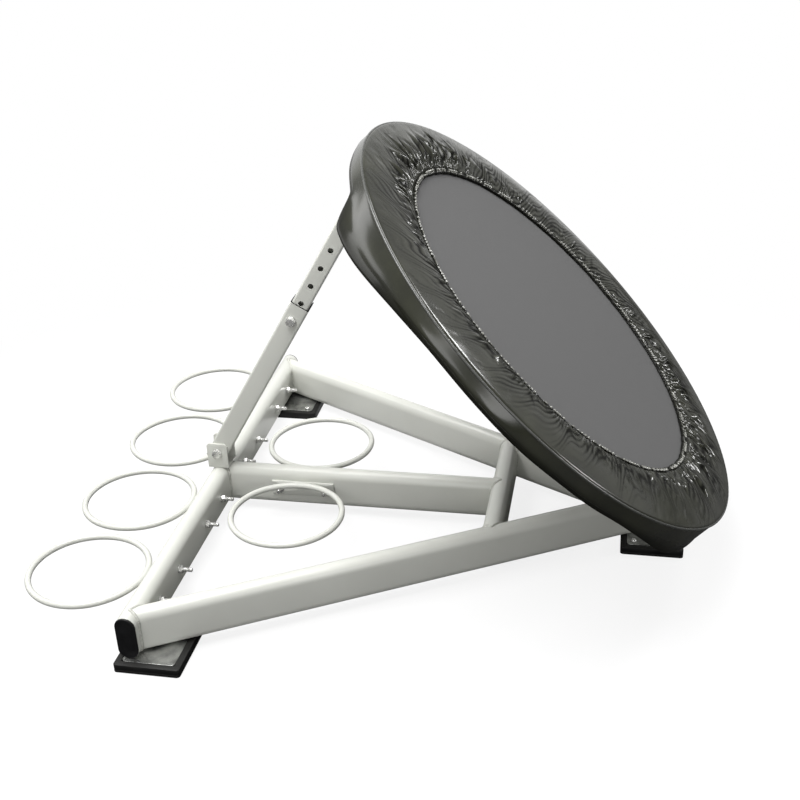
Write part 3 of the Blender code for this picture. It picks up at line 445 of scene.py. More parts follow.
def whiteShare(tree, direction):
    # 1 for a ray seen by the camera or through glass; a mirrored ray sees white only where the sweep stands
    rays = tree.nodes.new("ShaderNodeLightPath")
    facing = tree.nodes.new("ShaderNodeVectorMath")
    facing.operation = "DOT_PRODUCT"
    facing.inputs[1].default_value = studio["sweepFacing"]
    tree.links.new(direction, facing.inputs[0])
    sweep = tree.nodes.new("ShaderNodeMapRange")
    sweep.interpolation_type = "SMOOTHSTEP"
    sweep.inputs["From Min"].default_value, sweep.inputs["From Max"].default_value = studio["sweepEdge"]
    tree.links.new(facing.outputs["Value"], sweep.inputs["Value"])
    mirrored = mathNode(tree, "MULTIPLY", rays.outputs["Is Glossy Ray"], sweep.outputs[0])
    return rays, mathNode(tree, "MAXIMUM", mirrored,
                          mathNode(tree, "MAXIMUM", rays.outputs["Is Camera Ray"], rays.outputs["Is Transmission Ray"]))


rays, share = whiteShare(tree, tree.nodes.new("ShaderNodeTexCoord").outputs["Generated"])
dim = mathNode(tree, "MULTIPLY_ADD", rays.outputs["Is Glossy Ray"], studio["dimSide"] - studio["ambient"],
               studio["ambient"])
rest = mathNode(tree, "MULTIPLY", dim, mathNode(tree, "SUBTRACT", 1.0, share))
tree.links.new(mathNode(tree, "ADD", rest, share), sky.inputs["Strength"])

# the floor takes shadows near the object and goes over to plain white further out
floorMesh = bpy.data.meshes.new("floor")
floorMesh.from_pydata([(-16, -16, 0), (16, -16, 0), (16, 16, 0), (-16, 16, 0)], [], [(0, 1, 2, 3)])
floorPaint = bpy.data.materials.new("floorPaint")
floorPaint.use_nodes = True
tree = floorPaint.node_tree
floorShader = tree.nodes["Principled BSDF"]
floorShader.inputs["Roughness"].default_value = 0.9
floorShader.inputs["Specular IOR Level"].default_value = 0.0
floorShader.inputs["Emission Color"].default_value = (1, 1, 1, 1)
fromMiddle = tree.nodes.new("ShaderNodeTexCoord").outputs["Object"]
outwards = tree.nodes.new("ShaderNodeVectorMath")
outwards.operation = "NORMALIZE"
tree.links.new(fromMiddle, outwards.inputs[0])
rays, share = whiteShare(tree, outwards.outputs["Vector"])
tree.links.new(mathNode(tree, "MULTIPLY", share, 1 - studio["floorColour"]), floorShader.inputs["Emission Strength"])
distance = tree.nodes.new("ShaderNodeVectorMath")
distance.operation = "LENGTH"
tree.links.new(fromMiddle, distance.inputs[0])
spread = tree.nodes.new("ShaderNodeMapRange")
spread.interpolation_type = "SMOOTHSTEP"
spread.inputs["From Min"].default_value, spread.inputs["From Max"].default_value = studio["whiteFrom"], studio["whiteAt"]
tree.links.new(distance.outputs["Value"], spread.inputs["Value"])
nearMirror = mathNode(tree, "MULTIPLY", rays.outputs["Is Glossy Ray"], mathNode(tree, "SUBTRACT", 1.0, spread.outputs[0]))
tree.links.new(mathNode(tree, "MULTIPLY_ADD", nearMirror, studio["floorMirrored"] - studio["floorColour"],
                        studio["floorColour"]), floorShader.inputs["Base Color"])
glow = tree.nodes.new("ShaderNodeEmission")
merge = tree.nodes.new("ShaderNodeMixShader")
tree.links.new(mathNode(tree, "MULTIPLY", share, spread.outputs[0]), merge.inputs[0])
tree.links.new(floorShader.outputs[0], merge.inputs[1])
tree.links.new(glow.outputs[0], merge.inputs[2])
tree.links.new(merge.outputs[0], tree.nodes["Material Output"].inputs["Surface"])
floorMesh.materials.append(floorPaint)
floor = bpy.data.objects.new("floor", floorMesh)
bpy.context.scene.collection.objects.link(floor)
bpy.context.scene.view_settings.view_transform = "Standard"
print("camera, lamps and floor set")


# Base frame

tube = {"width": 0.038, "height": 0.085, "wall": 0.0025, "floorGap": 0.0168, "rearLength": 1.090, "railInset": 0.024,
        "railAngle": radians(30), "crossAhead": 0.596, "edge": 0.0007}
joints = {joint["name"]: joint for joint in frame["joints"]}
hinge = np.array(joints["trampoline_tilt"]["pos_m"], float)
strutFoot = np.array(joints["strut_lean"]["pos_m"], float)
rearY = float(strutFoot[1])
tubeZ = tube["floorGap"] + tube["height"] / 2
tubeTop = tube["floorGap"] + tube["height"]
tubeRadius = tube["width"] / 2
flatHalf = (tube["height"] - tube["width"]) / 2
railX = tube["rearLength"] / 2 - tube["railInset"]
apexY = rearY - railX / tan(tube["railAngle"])
crossY = rearY - tube["crossAhead"]


def saddle(z):
    # how far the side of a tube has curved away at a height, from its flat face
    beyond = np.clip(np.abs(z - tubeZ) - flatHalf, 0, tubeRadius)
    return tubeRadius - np.sqrt(tubeRadius ** 2 - beyond ** 2)


def levelTube(start, end, startPlane, endPlane):
    # the oval outline carried level between two points; each line of it runs on to the plane at its end, and past
    # it by the saddle's depth where the plane is another tube's side; the wall returns inside
    start, end = np.array(start, float), np.array(end, float)
    along = (end - start) / np.linalg.norm(end - start)
    across = np.array([-along[1], along[0]])
    edge = tube["edge"]

    def ring(shrink, plane, inwards, way):
        point, normal, coped = plane
        outline = ovalOutline(tube["width"] - 2 * shrink, tube["height"] - 2 * shrink)
        lines = start + np.outer(outline[:, 0], across)
        z = tubeZ + outline[:, 1]
        steepness = along @ np.array(normal)
        travel = (np.array(point) - lines) @ np.array(normal) / steepness + inwards
        travel = travel + way * coped * saddle(z) / abs(steepness)
        return np.column_stack([lines + np.outer(travel, along), z])

    rows = [ring(edge, startPlane, 0, -1), ring(edge * 0.3, startPlane, edge * 0.3, -1), ring(0, startPlane, edge, -1),
            ring(0, endPlane, -edge, 1), ring(edge * 0.3, endPlane, -edge * 0.3, 1), ring(edge, endPlane, 0, 1),
            ring(tube["wall"], endPlane, 0, 1), ring(tube["wall"], startPlane, 0, -1)]
    return gridShape(np.array(rows), wrapRows=True), rows[2], rows[3]


def beside(point, direction, side):
    # the plane that a tube ends on when it is welded to the flat side of another
    direction = np.array(direction, float) / np.linalg.norm(direction)
    normal = np.array([-direction[1], direction[0]]) * side
    return np.array(point) + normal * (tubeRadius + gap), normal, 1


def weldBead(loop, size, seed):
    # a bead along a closed seam: a round section whose radius rises and falls once for each drop of weld
    loop = np.asarray(loop)
    loop = loop[np.concatenate([[True], np.linalg.norm(np.diff(loop, axis=0), axis=1) > 1e-6])]
    ends = np.vstack([loop, loop[:1]])
    run = np.concatenate([[0], np.cumsum(np.linalg.norm(np.diff(ends, axis=0), axis=1))])
    count = int(run[-1] / 0.0011)
    stops = np.arange(count) * run[-1] / count
    path = np.column_stack([np.interp(stops, run, ends[:, axis]) for axis in range(3)])
    drops = round(run[-1] / 0.0036)
    turn = stops / run[-1] * 2 * pi
    radii = size * (1 + 0.09 * np.sin(drops * turn) + 0.1 * waver(turn, (3, 7, 12), seed))
    return swept(path, radii, 9, (0.13, 0.21, 0.97), closed=True)


railRun = np.array([sin(tube["railAngle"]), -cos(tube["railAngle"])])
facingFront = beside((0, rearY), (1, 0), -1)
half = tube["rearLength"] / 2
welds = []
for name, node, start, end, startPlane, endPlane in (
        ("rearTube", "rear_cross_tube", (-half, rearY), (half, rearY), ((-half, rearY), (1, 0), 0), ((half, rearY), (1, 0), 0)),
        ("sideRailLeft", "side_rail_left", (-railX, rearY), (0, apexY), facingFront, ((-gap / 2, 0), (1, 0), 0)),
        ("sideRailRight", "side_rail_right", (railX, rearY), (0, apexY), facingFront, ((gap / 2, 0), (1, 0), 0)),
        ("centreRail", "centre_rail", (0, rearY), (0, crossY), facingFront, beside((0, crossY), (1, 0), 1)),
        ("frontTube", "front_cross_tube", (-railX / 2, crossY), (railX / 2, crossY),
         beside((-railX, rearY), railRun, 1), beside((railX, rearY), (-railRun[0], railRun[1]), -1))):
    shape, startSeam, endSeam = levelTube(start, end, startPlane, endPlane)
    addPiece(name, shape, powderCoat, "base_frame", [node])
    welds += [seam for seam, plane in ((startSeam, startPlane), (endSeam, endPlane)) if plane[2]]
    if name == "sideRailLeft":
        welds.append(endSeam + (gap / 2 + tube["edge"] / 2, 0, 0))
addPiece("frameWelds", joined([weldBead(seam, 0.0027, 60 + number) for number, seam in enumerate(welds)]), weldCoat,
         "base_frame", smoothAngle=70)


# End caps: a flat oval face with a rolled rim on a plug

cap = {"plug": 0.016, "flange": 0.003, "roll": 0.0016, "dome": 0.0006}
for word, side in (("Left", -1), ("Right", 1)):
    inner = tube["wall"] + gap
    steps = [(inner, half - cap["plug"]), (inner, half + gap), (0, half + gap), (0, half + gap + cap["flange"] - cap["roll"]),
             (cap["roll"] * 0.3, half + gap + cap["flange"] - cap["roll"] * 0.35),
             (cap["roll"], half + gap + cap["flange"]), (cap["roll"] * 2.2, half + gap + cap["flange"] - 0.0005)]
    rows = []
    for shrink, x in steps:
        outline = ovalOutline(tube["width"] - 2 * shrink, tube["height"] - 2 * shrink)
        rows.append(np.column_stack([np.full(len(outline), side * x), outline[:, 0] + rearY, outline[:, 1] + tubeZ]))
    for x, at in ((half - cap["plug"], 0), (half + gap + cap["flange"] - cap["dome"], len(rows) + 1)):
        middle = np.array([side * x, rearY, tubeZ]) + np.column_stack([np.zeros(len(outline)), np.zeros(len(outline)),
                                                                       np.clip(outline[:, 1], -flatHalf, flatHalf)])
        rows.insert(at, middle)
    addPiece(f"endCap{word}", gridShape(np.array(rows)), capPlastic, "base_frame",
             [f"end_cap_{word.lower()}"])
print("base frame done")


# Feet: a rubber tray round a steel plate

foot = {"length": 0.172, "width": 0.122, "height": 0.0165, "lip": 0.012, "corner": 0.006, "edge": 0.0012,
        "plate": 0.004, "overhang": 0.023, "ahead": 0.0365, "sole": 0.0006}


def makeFoot(word, x, y):
    # the tray's outline goes up the side, over a softly rounded lip and down to its floor
    lip, edge, corner = foot["lip"], foot["edge"], foot["corner"]
    floorZ = foot["height"] - foot["plate"] - gap
    steps = [(0.004, 0.0), (foot["sole"], 0.0), (0.0, foot["sole"]), (0.0, 0.0045), (0.0005, 0.0052), (0.0, 0.006),
             (0.0, foot["height"] - edge), (edge * 0.3, foot["height"] - edge * 0.3), (edge, foot["height"]),
             (lip - 0.0008, foot["height"]), (lip, foot["height"] - 0.0008), (lip, floorZ), (lip + 0.02, floorZ)]
    rows = []
    for shrink, z in steps:
        outline = roundedOutline(foot["length"] - 2 * shrink, foot["width"] - 2 * shrink,
                                 max(corner - 0.4 * min(shrink, 0.01), 0.001))
        rows.append(np.column_stack([outline + (x, y), np.full(len(outline), z)]))
    for z, at in ((0.0, 0), (floorZ, len(rows) + 1)):
        rows.insert(at, np.repeat([[x, y, z]], len(outline), 0))
    addPiece(f"footTray{word}", gridShape(np.array(rows)), footRubber, "base_frame",
             [f"rubber_foot_{word.lower()}"], smoothAngle=35)


footX = half + foot["overhang"] - foot["length"] / 2
feet = {"Left": (-footX, rearY - foot["ahead"], [(1, -1)]), "Right": (footX, rearY - foot["ahead"], [(-1, -1)]),
        "Front": (0, apexY, [(-1, 1), (1, 1)])}            # middle, and the corners of the plate that take a screw
for word, (x, y, corners) in feet.items():
    makeFoot(word, x, y)
print("feet done")


# Fasteners

bolts = {"M8": {"shank": 0.008, "flats": 0.013, "head": 0.0055, "nut": 0.0065, "washer": 0.017, "washerThick": 0.0016,
                "pitch": 0.00125},
         "M10": {"shank": 0.010, "flats": 0.017, "head": 0.0064, "nut": 0.008, "washer": 0.021, "washerThick": 0.002,
                 "pitch": 0.0015}}
boltTurn = np.linspace(0, 2 * pi, 24, endpoint=False)


def hexReach(flats, spin=0.0):
    # from the centre to the edge of a hexagon, by direction
    return flats / 2 / np.cos((boltTurn + spin) % (pi / 3) - pi / 6)


def turnedRows(rows, origin, axis, spin=0.0):
    # rings of (radius, distance) by direction, set on a line from origin along axis
    axis = np.array(axis, float)
    side = np.array([0, 0, 1.0]) if abs(axis[2]) < 0.5 else np.array([1.0, 0, 0])
    other = np.cross(axis, side)
    grid = []
    for radius, distance in rows:
        radius, distance = np.broadcast_to(radius, 24)[:, None], np.broadcast_to(distance, 24)[:, None]
        grid.append(np.array(origin) + axis * distance + side * radius * np.cos(boltTurn + spin)[:, None]
                    + other * radius * np.sin(boltTurn + spin)[:, None])
    return gridShape(np.array(grid))


def hexRows(size, start, height, roundStart, roundEnd):
    # a hexagon between two distances, its corners cut back by a cone at the ends asked for
    flats = size["flats"]
    reach = hexReach(flats)
    core = flats / 2 * 0.96
    drop = (reach - core) * 0.55
    rows = []
    if roundStart:
        rows += [(core * 0.93, start), (core, start + 0.0001), (reach, start + drop)]
    else:
        rows += [(reach, start)]
    if roundEnd:
        rows += [(reach, start + height - drop), (core, start + height - 0.0001), (core * 0.93, start + height)]
    else:
        rows += [(reach, start + height)]
    return rows


def washerRows(size, start):
    radius, thick, ease = size["washer"] / 2, size["washerThick"], 0.0003
    return [(radius - ease, start), (radius, start + ease), (radius, start + thick - ease), (radius - ease, start + thick)]


def threadRows(size, start, length):
    # a screw thread: the radius falls and rises with distance, one turn behind for each turn round
    radius, pitch = size["shank"] / 2, size["pitch"]
    stops = np.linspace(start, start + length, max(int(length / pitch * 4), 4))
    rows = []
    for stop in stops:
        phase = ((stop - start) / pitch - boltTurn / (2 * pi)) % 1
        dip = np.abs(phase - 0.5) * 2
        taper = np.clip((start + length - stop) / 0.001, 0.0, 1.0)
        rows.append((radius - size["pitch"] * 0.3 * (1 - dip) - 0.0008 * (1 - taper), stop))
    return rows + [(0.0, start + length)]


def headRows(size, start):
    # a hexagon head on its washer, from the top of the head to where it sits
    seat = start - size["washerThick"]
    return [(0.0, seat - size["head"])] + hexRows(size, seat - size["head"], size["head"], True, False) \
        + washerRows(size, seat)


def nutRows(size, start):
    return washerRows(size, start) + hexRows(size, start + size["washerThick"], size["nut"], True, True)


# foot screws: a domed head with a crossed slot pressed into it
screw = {"head": 0.011, "rise": 0.004, "shank": 0.005, "inset": 0.0135, "depth": 0.008, "slot": 0.0013}


def makeScrew(name, x, y, node, spin):
    # radius and height of the dome fall along a quarter ellipse, and the slot sinks where either of two crossed bands is
    seat = foot["height"] + gap
    bow = np.linspace(0, pi / 2, 9)
    reach = np.concatenate([screw["head"] / 2 * np.cos(bow), screw["head"] / 2 * np.array([0.1])])
    rise = np.concatenate([0.0008 + (screw["rise"] - 0.0008) * np.sin(bow), [screw["rise"]]])
    reach[8], rise[8] = screw["head"] / 2 * 0.16, screw["rise"]
    around = np.linspace(0, 2 * pi, 40, endpoint=False)
    across, along = reach[:, None] * np.cos(around), reach[:, None] * np.sin(around)
    band = np.minimum(np.abs(across), np.abs(along))
    sink = (1 - smoothStep(screw["slot"] * 0.35, screw["slot"] * 0.55, band)) * (reach[:, None] < screw["head"] * 0.36)
    height = rise[:, None] - 0.0011 * sink
    turned = np.stack([x + across * cos(spin) - along * sin(spin), y + across * sin(spin) + along * cos(spin),
                       seat + height], -1)
    crown = np.broadcast_to([x, y, seat + screw["rise"] - 0.0011], (1, 40, 3))
    below = [(screw["head"] / 2, 0.0), (screw["shank"] / 2, 0.0), (screw["shank"] / 2, -0.006), (0.0, -0.006)]
    rows = [np.column_stack([x + r * np.cos(around), y + r * np.sin(around), np.full(40, seat + z)])
            for r, z in reversed(below)]
    addPiece(name, gridShape(np.concatenate([np.array(rows), turned, crown])), zincPlate, "base_frame", [node], 35)


for word, (x, y, corners) in feet.items():
    reachX = foot["length"] / 2 - foot["lip"] - gap - screw["inset"]
    reachY = foot["width"] / 2 - foot["lip"] - gap - screw["inset"]
    for number, (sx, sy) in enumerate(corners, 1):
        makeScrew(f"footScrew{word}{number}", x + sx * reachX, y + sy * reachY, f"foot_screw_{word.lower()}_{number}",
                  0.4 + number)


ring = {"outer": 0.235, "rod": 0.012, "height": 0.0776, "pitch": 0.2555, "weldIn": 0.0015, "plateLength": 0.134,
        "plateHeight": 0.032, "plateThick": 0.004, "boltSpacing": 0.098, "boltBelow": 0.0176, "innerAhead": 0.180,
        "standoff": 0.008, "lug": 0.030, "threadOut": 0.018, "innerThreadOut": 0.009}
ringXs = [ring["pitch"] * step for step in (-1.5, -0.5, 0.5, 1.5)]
innerY = rearY - ring["innerAhead"]
boltZ = ring["height"] - ring["boltBelow"]
outside = tubeRadius + ring["plateThick"] + 2 * gap
inside = tubeRadius + gap
m8, m10 = bolts["M8"], bolts["M10"]
number = 0
for x in ringXs:
    for side in (-1, 1):
        number += 1
        at = (x + side * ring["boltSpacing"] / 2, rearY, boltZ)
        spin = rng.uniform(0, pi / 3)
        rows = headRows(m8, -outside) + [(m8["shank"] / 2, -outside), (m8["shank"] / 2, inside)] + nutRows(m8, inside)
        tip = inside + m8["washerThick"] + m8["nut"]
        rows += [(m8["shank"] / 2, tip)] + threadRows(m8, tip, ring["threadOut"])
        addPiece(f"ringBolt{number}", turnedRows(rows, at, (0, -1, 0), spin), zincPlate, "base_frame",
                 [f"ring_bolt_{number}"], smoothAngle=30)
for number, side in ((1, -1), (2, 1)):
    at = (0, innerY + side * ring["boltSpacing"] / 2, boltZ)
    rows = headRows(m8, -outside) + [(m8["shank"] / 2, -outside), (m8["shank"] / 2, outside)] + nutRows(m8, outside)
    tip = outside + m8["washerThick"] + m8["nut"]
    rows += [(m8["shank"] / 2, tip)] + threadRows(m8, tip, ring["innerThreadOut"])
    addPiece(f"innerRingBolt{number}", turnedRows(rows, at, (-1, 0, 0), 0.3 * number), zincPlate, "base_frame",
             [f"inner_ring_bolt_{number}"], smoothAngle=30)


# Ball rings: bent rod welded to a plate with eased edges

def easedBlock(low, high, ease):
    # a box whose long edges along its second axis are rounded by an outline in the other two
    (x0, y0, z0), (x1, y1, z1) = low, high
    outline = roundedOutline(x1 - x0, z1 - z0, max(ease * 4, 0.0005), 5) + ((x0 + x1) / 2, (z0 + z1) / 2)
    small = roundedOutline(x1 - x0 - 2 * ease, z1 - z0 - 2 * ease, max(ease * 3, 0.0004), 5) \
        + ((x0 + x1) / 2, (z0 + z1) / 2)
    rows = [(small, y0), (outline, y0 + ease), (outline, y1 - ease), (small, y1)]
    grid = [np.column_stack([points[:, 0], np.full(len(points), y), points[:, 1]]) for points, y in rows]
    caps = [np.repeat([[(x0 + x1) / 2, y, (z0 + z1) / 2]], len(outline), 0) for y in (y0, y1)]
    return gridShape(np.array([caps[0], *grid, caps[1]]))


def makeBallRing(name, tubePoint, outward, standoff, node, seed):
    # a torus beside the tube; the rod's centre line wanders a little, as bent rod does
    outward = np.array([*outward, 0.0])
    along = np.array([-outward[1], outward[0], 0.0])
    base = np.array([*tubePoint, 0.0])

    def placed(shape):
        points, faces = shape
        return base + np.outer(points[:, 0], along) + np.outer(points[:, 1], outward) \
            + np.outer(points[:, 2], (0, 0, 1)), faces

    radius = (ring["outer"] - ring["rod"]) / 2
    reach = tubeRadius + gap + ring["plateThick"] - ring["weldIn"] + ring["outer"] / 2 + standoff
    turn = np.linspace(0, 2 * pi, 144, endpoint=False)
    bend = 0.0003 * waver(turn, (2, 3, 5), seed)
    path = np.column_stack([(radius + bend) * np.cos(turn), reach + (radius + bend) * np.sin(turn),
                            ring["height"] + 0.0003 * waver(turn, (2, 3), seed + 1)])
    shapes = [swept(path, ring["rod"] / 2, 18, (0, 0, 1), closed=True)]
    plateLow = tubeRadius + gap
    half = ring["plateLength"] / 2
    shapes.append(easedBlock((-half, plateLow, ring["height"] - ring["plateHeight"]),
                             (half, plateLow + ring["plateThick"], ring["height"]), 0.0005))
    if standoff:
        shapes.append(easedBlock((-ring["lug"] / 2, plateLow + ring["plateThick"] / 2, ring["height"] - ring["rod"] / 2),
                                 (ring["lug"] / 2, reach - radius, ring["height"] - ring["rod"] / 8), 0.0005))
    steps = np.linspace(-1, 1, 25)
    for side in (-1, 1):                             # the weld's two runs, above and below where rod meets plate
        run = np.column_stack([0.021 * steps, np.full(25, plateLow + ring["plateThick"] + 0.0009 + standoff * 0.9),
                               np.full(25, ring["height"] - 0.0012 + 0.003 * side)])
        beads = (0.0024 + 0.0003 * np.sin(steps * 34)) * np.sqrt(np.clip(1 - steps ** 4, 0.02, 1))
        shapes.append(swept(run, beads, 8, (0, 0, 1)))
    addPiece(name, placed(joined(shapes)), powderCoat, "base_frame", [node], smoothAngle=50)


for number, x in enumerate(ringXs):
    makeBallRing(f"ballRing{number + 1}", (x, rearY), (0, 1), 0.0, f"ball_ring_rear_{number + 1}", 40 + number)
for word, side in (("Left", -1), ("Right", 1)):
    makeBallRing(f"innerBallRing{word}", (0, innerY), (side, 0), ring["standoff"], f"ball_ring_inner_{word.lower()}",
                 50 + side)
print("ball rings and bolts done")


# Strut, in its own frame: x across, y behind, z up the strut from its lower pivot

strut = {"outer": 0.040, "inner": 0.035, "wall": 0.0015, "corner": 0.0042, "tail": 0.020, "mouth": 0.394, "bolt": 0.358,
         "pitch": 0.043, "holes": 6, "hole": 0.0112, "innerTail": 0.030, "innerHead": 0.015, "ear": 0.004,
         "earGap": 0.0007, "clevisWidth": 0.044, "threadOut": 0.005}
strutUp = np.array(joints["strut_slide"]["axis"], float)
strutUp /= np.linalg.norm(strutUp)
strutBack = np.cross(strutUp, (1, 0, 0))
matTilt = radians(44.6)
matUp = np.array([0, cos(matTilt), sin(matTilt)])
matOut = np.array([0, -sin(matTilt), cos(matTilt)])
topPivot = hinge + (0.396 + 0.450 - 0.0243) * matUp + (0.093 - 0.045) * matOut
strutLength = float(np.linalg.norm((topPivot - strutFoot)[1:]))


def onStrut(points):
    points = np.asarray(points, float)
    return strutFoot + np.outer(points[:, 0], (1, 0, 0)) + np.outer(points[:, 1], strutBack) \
        + np.outer(points[:, 2], strutUp)


def squareTube(size, low, high):
    # a square outline with rounded corners, run up the strut and back down inside its wall
    rows = []
    ease = 0.0004
    for shrink, z in ((ease, low), (0, low + ease), (0, high - ease), (ease, high), (strut["wall"], high),
                      (strut["wall"], low)):
        outline = roundedOutline(size - 2 * shrink, size - 2 * shrink, strut["corner"] - min(shrink, 0.0015), 6)
        rows.append(np.column_stack([outline, np.full(len(outline), z)]))
    return gridShape(np.array(rows), wrapRows=True)


def drilled(shape, heights, diameter):
    # holes along x through both walls, cut with round solids
    work = []
    for points, faces in (shape, *[hole(height, diameter) for height in heights]):
        mesh = bpy.data.meshes.new("drilling")
        mesh.from_pydata(np.asarray(points, float), [], faces.tolist())
        solid = bmesh.new()
        solid.from_mesh(mesh)
        bmesh.ops.remove_doubles(solid, verts=solid.verts, dist=1e-6)
        bmesh.ops.recalc_face_normals(solid, faces=solid.faces)
        solid.to_mesh(mesh)
        solid.free()
        item = bpy.data.objects.new("drilling", mesh)
        bpy.context.scene.collection.objects.link(item)
        work.append(item)
    for tool in work[1:]:
        cutting = work[0].modifiers.new("hole", "BOOLEAN")
        cutting.operation, cutting.solver, cutting.object = "DIFFERENCE", "EXACT", tool
    bpy.context.view_layer.update()
    result = bpy.data.meshes.new_from_object(work[0].evaluated_get(bpy.context.evaluated_depsgraph_get()))
    for item in work:
        bpy.data.objects.remove(item, do_unlink=True)
    return result


def hole(height, diameter):
    turn = np.linspace(0, 2 * pi, 32, endpoint=False)
    outline = np.column_stack([diameter / 2 * np.cos(turn), diameter / 2 * np.sin(turn) + height])
    rows = [np.column_stack([np.full(32, x), outline]) for x in (-0.05, 0.05)]
    ends = [np.repeat([[x, 0.0, height]], 32, 0) for x in (-0.05, 0.05)]
    return gridShape(np.array([ends[0], *rows, ends[1]]))


def addDrilled(name, mesh, body, node):
    coords = np.empty(len(mesh.vertices) * 3)
    mesh.vertices.foreach_get("co", coords)
    mesh.vertices.foreach_set("co", onStrut(coords.reshape(-1, 3)).ravel())
    mesh.update()
    mesh.shade_smooth()
    mesh.set_sharp_from_angle(angle=radians(30))
    piece = bpy.data.objects.new(name, mesh)
    bpy.context.scene.collection.objects.link(piece)
    dressPiece(piece, powderCoat, body, [node])


addDrilled("strutOuterTube", drilled(squareTube(strut["outer"], -strut["tail"], strut["mouth"]), [], 0.01),
           "strut_outer", "strut_outer_tube")
holeHeights = [strut["bolt"] + step * strut["pitch"] for step in range(strut["holes"])]
addDrilled("strutInnerTube", drilled(squareTube(strut["inner"], strut["bolt"] - strut["innerTail"],
                                                strutLength + strut["innerHead"]), holeHeights, strut["hole"]),
           "strut_inner", "strut_inner_tube")


def pivotBolt(word, halfWidth, centre, body, nodes, spin):
    # a hexagon bolt through two ears and its nut on the far side
    near, far = -halfWidth - gap, halfWidth + gap
    tip = far + m10["washerThick"] + m10["nut"]
    rows = headRows(m10, near) + [(m10["shank"] / 2, near), (m10["shank"] / 2, tip)]
    rows += threadRows(m10, tip, strut["threadOut"])
    addPiece(f"{word}Bolt", turnedRows(rows, centre, (1, 0, 0), spin), zincPlate, body, [nodes[0]], 30)
    bore = m10["shank"] / 2 + gap
    rows = [(bore, far)] + nutRows(m10, far) + [(bore, tip), (bore, far)]
    addPiece(f"{word}Nut", turnedRows(rows, centre, (1, 0, 0), spin * 0.6), zincPlate, body, [nodes[1]], 30)


clevisHalf = strut["outer"] / 2 + strut["earGap"] + strut["ear"]
topHalf = strut["inner"] / 2 + strut["earGap"] + strut["ear"]
hingeHalf = 0.020 + strut["earGap"] + strut["ear"]
pivotBolt("strutPivot", clevisHalf, strutFoot, "base_frame", ["strut_pivot_bolt", "strut_pivot_nut"], 0.35)
pivotBolt("strutTop", topHalf, topPivot, "strut_inner", ["strut_top_bolt", "strut_top_nut"], 0.9)
pivotBolt("hinge", hingeHalf, hinge, "base_frame", ["hinge_bolt", "hinge_nut"], 0.2)
wallOut, wallIn = strut["outer"] / 2 + gap, strut["inner"] / 2 + gap
adjustAt = strutFoot + strut["bolt"] * strutUp
rows = headRows(m10, -wallOut) + [(m10["shank"] / 2, -wallOut), (m10["shank"] / 2, -wallIn), (0.0, -wallIn)]
addPiece("adjustingBolt", turnedRows(rows, adjustAt, (1, 0, 0), 0.5), zincPlate, "strut_outer",
         ["adjusting_bolt"], 30)
tip = wallOut + m10["washerThick"] + m10["nut"]
rows = [(0.0, wallIn), (m10["shank"] / 2, wallIn), (m10["shank"] / 2, wallOut)] + nutRows(m10, wallOut) \
    + [(m10["shank"] / 2, tip)] + threadRows(m10, tip, strut["threadOut"])
addPiece("adjustingNut", turnedRows(rows, adjustAt, (1, 0, 0), 0.2), zincPlate, "strut_outer",
         ["adjusting_nut"], 30)


# Bent plate brackets keep the frame's shape, with their edges rounded

def roundedCopy(node, name, finish, body, width=0.0009, angle=38):
    source = frame["nodes"][node].data
    work = bmesh.new()
    work.from_mesh(source)
    bmesh.ops.remove_doubles(work, verts=work.verts, dist=1e-5)
    bmesh.ops.dissolve_limit(work, angle_limit=radians(1.0), verts=work.verts, edges=work.edges)
    mesh = bpy.data.meshes.new(name)
    work.to_mesh(mesh)
    work.free()
    piece = bpy.data.objects.new(name, mesh)
    bpy.context.scene.collection.objects.link(piece)
    rounding = piece.modifiers.new("edges", "BEVEL")
    rounding.width, rounding.segments = width, 3
    rounding.limit_method, rounding.angle_limit = "ANGLE", radians(angle)
    rounding.harden_normals = False
    mesh.shade_smooth()
    bpy.context.view_layer.update()
    done = bpy.data.meshes.new_from_object(piece.evaluated_get(bpy.context.evaluated_depsgraph_get()))
    piece.modifiers.clear()
    piece.data = done
    done.shade_smooth()
    done.set_sharp_from_angle(angle=radians(32))
    return dressPiece(piece, finish, body, [node])


roundedCopy("strut_clevis", "strutClevis", powderCoat, "base_frame")
roundedCopy("hinge_bracket", "hingeBracket", powderCoat, "base_frame")
roundedCopy("hinge_lug", "hingeLug", powderCoat, "trampoline")
roundedCopy("top_bracket", "topBracket", powderCoat, "trampoline")
roundedCopy("strut_bush", "strutBush", capPlastic, "strut_outer", 0.0004)
for word in ("left", "right", "front"):
    roundedCopy(f"foot_plate_{word}", f"footPlate{word.capitalize()}", footSteel, "base_frame", 0.0006)
print("strut and brackets done")


# Trampoline: places are a radius and a turn in the mat's plane, and a height above the mat's middle

matCentre = hinge + 0.396 * matUp + 0.093 * matOut
tramp = {"ring": 0.450, "tube": 0.030, "drop": 0.011, "sockets": (60, 120, 240, 300), "socket": 0.027, "bore": 0.022,
         "socketLength": 0.056, "mat": 0.362, "matThick": 0.002, "hem": 0.009, "hemThick": 0.005, "springs": 36,
         "coil": 0.009, "wire": 0.0016}


def onMat(radius, turn, height):
    radius, turn, height = np.broadcast_arrays(radius, turn, height)
    return matCentre + (radius * np.cos(turn))[..., None] * np.array([1.0, 0, 0]) \
        + (radius * np.sin(turn))[..., None] * matUp + height[..., None] * matOut


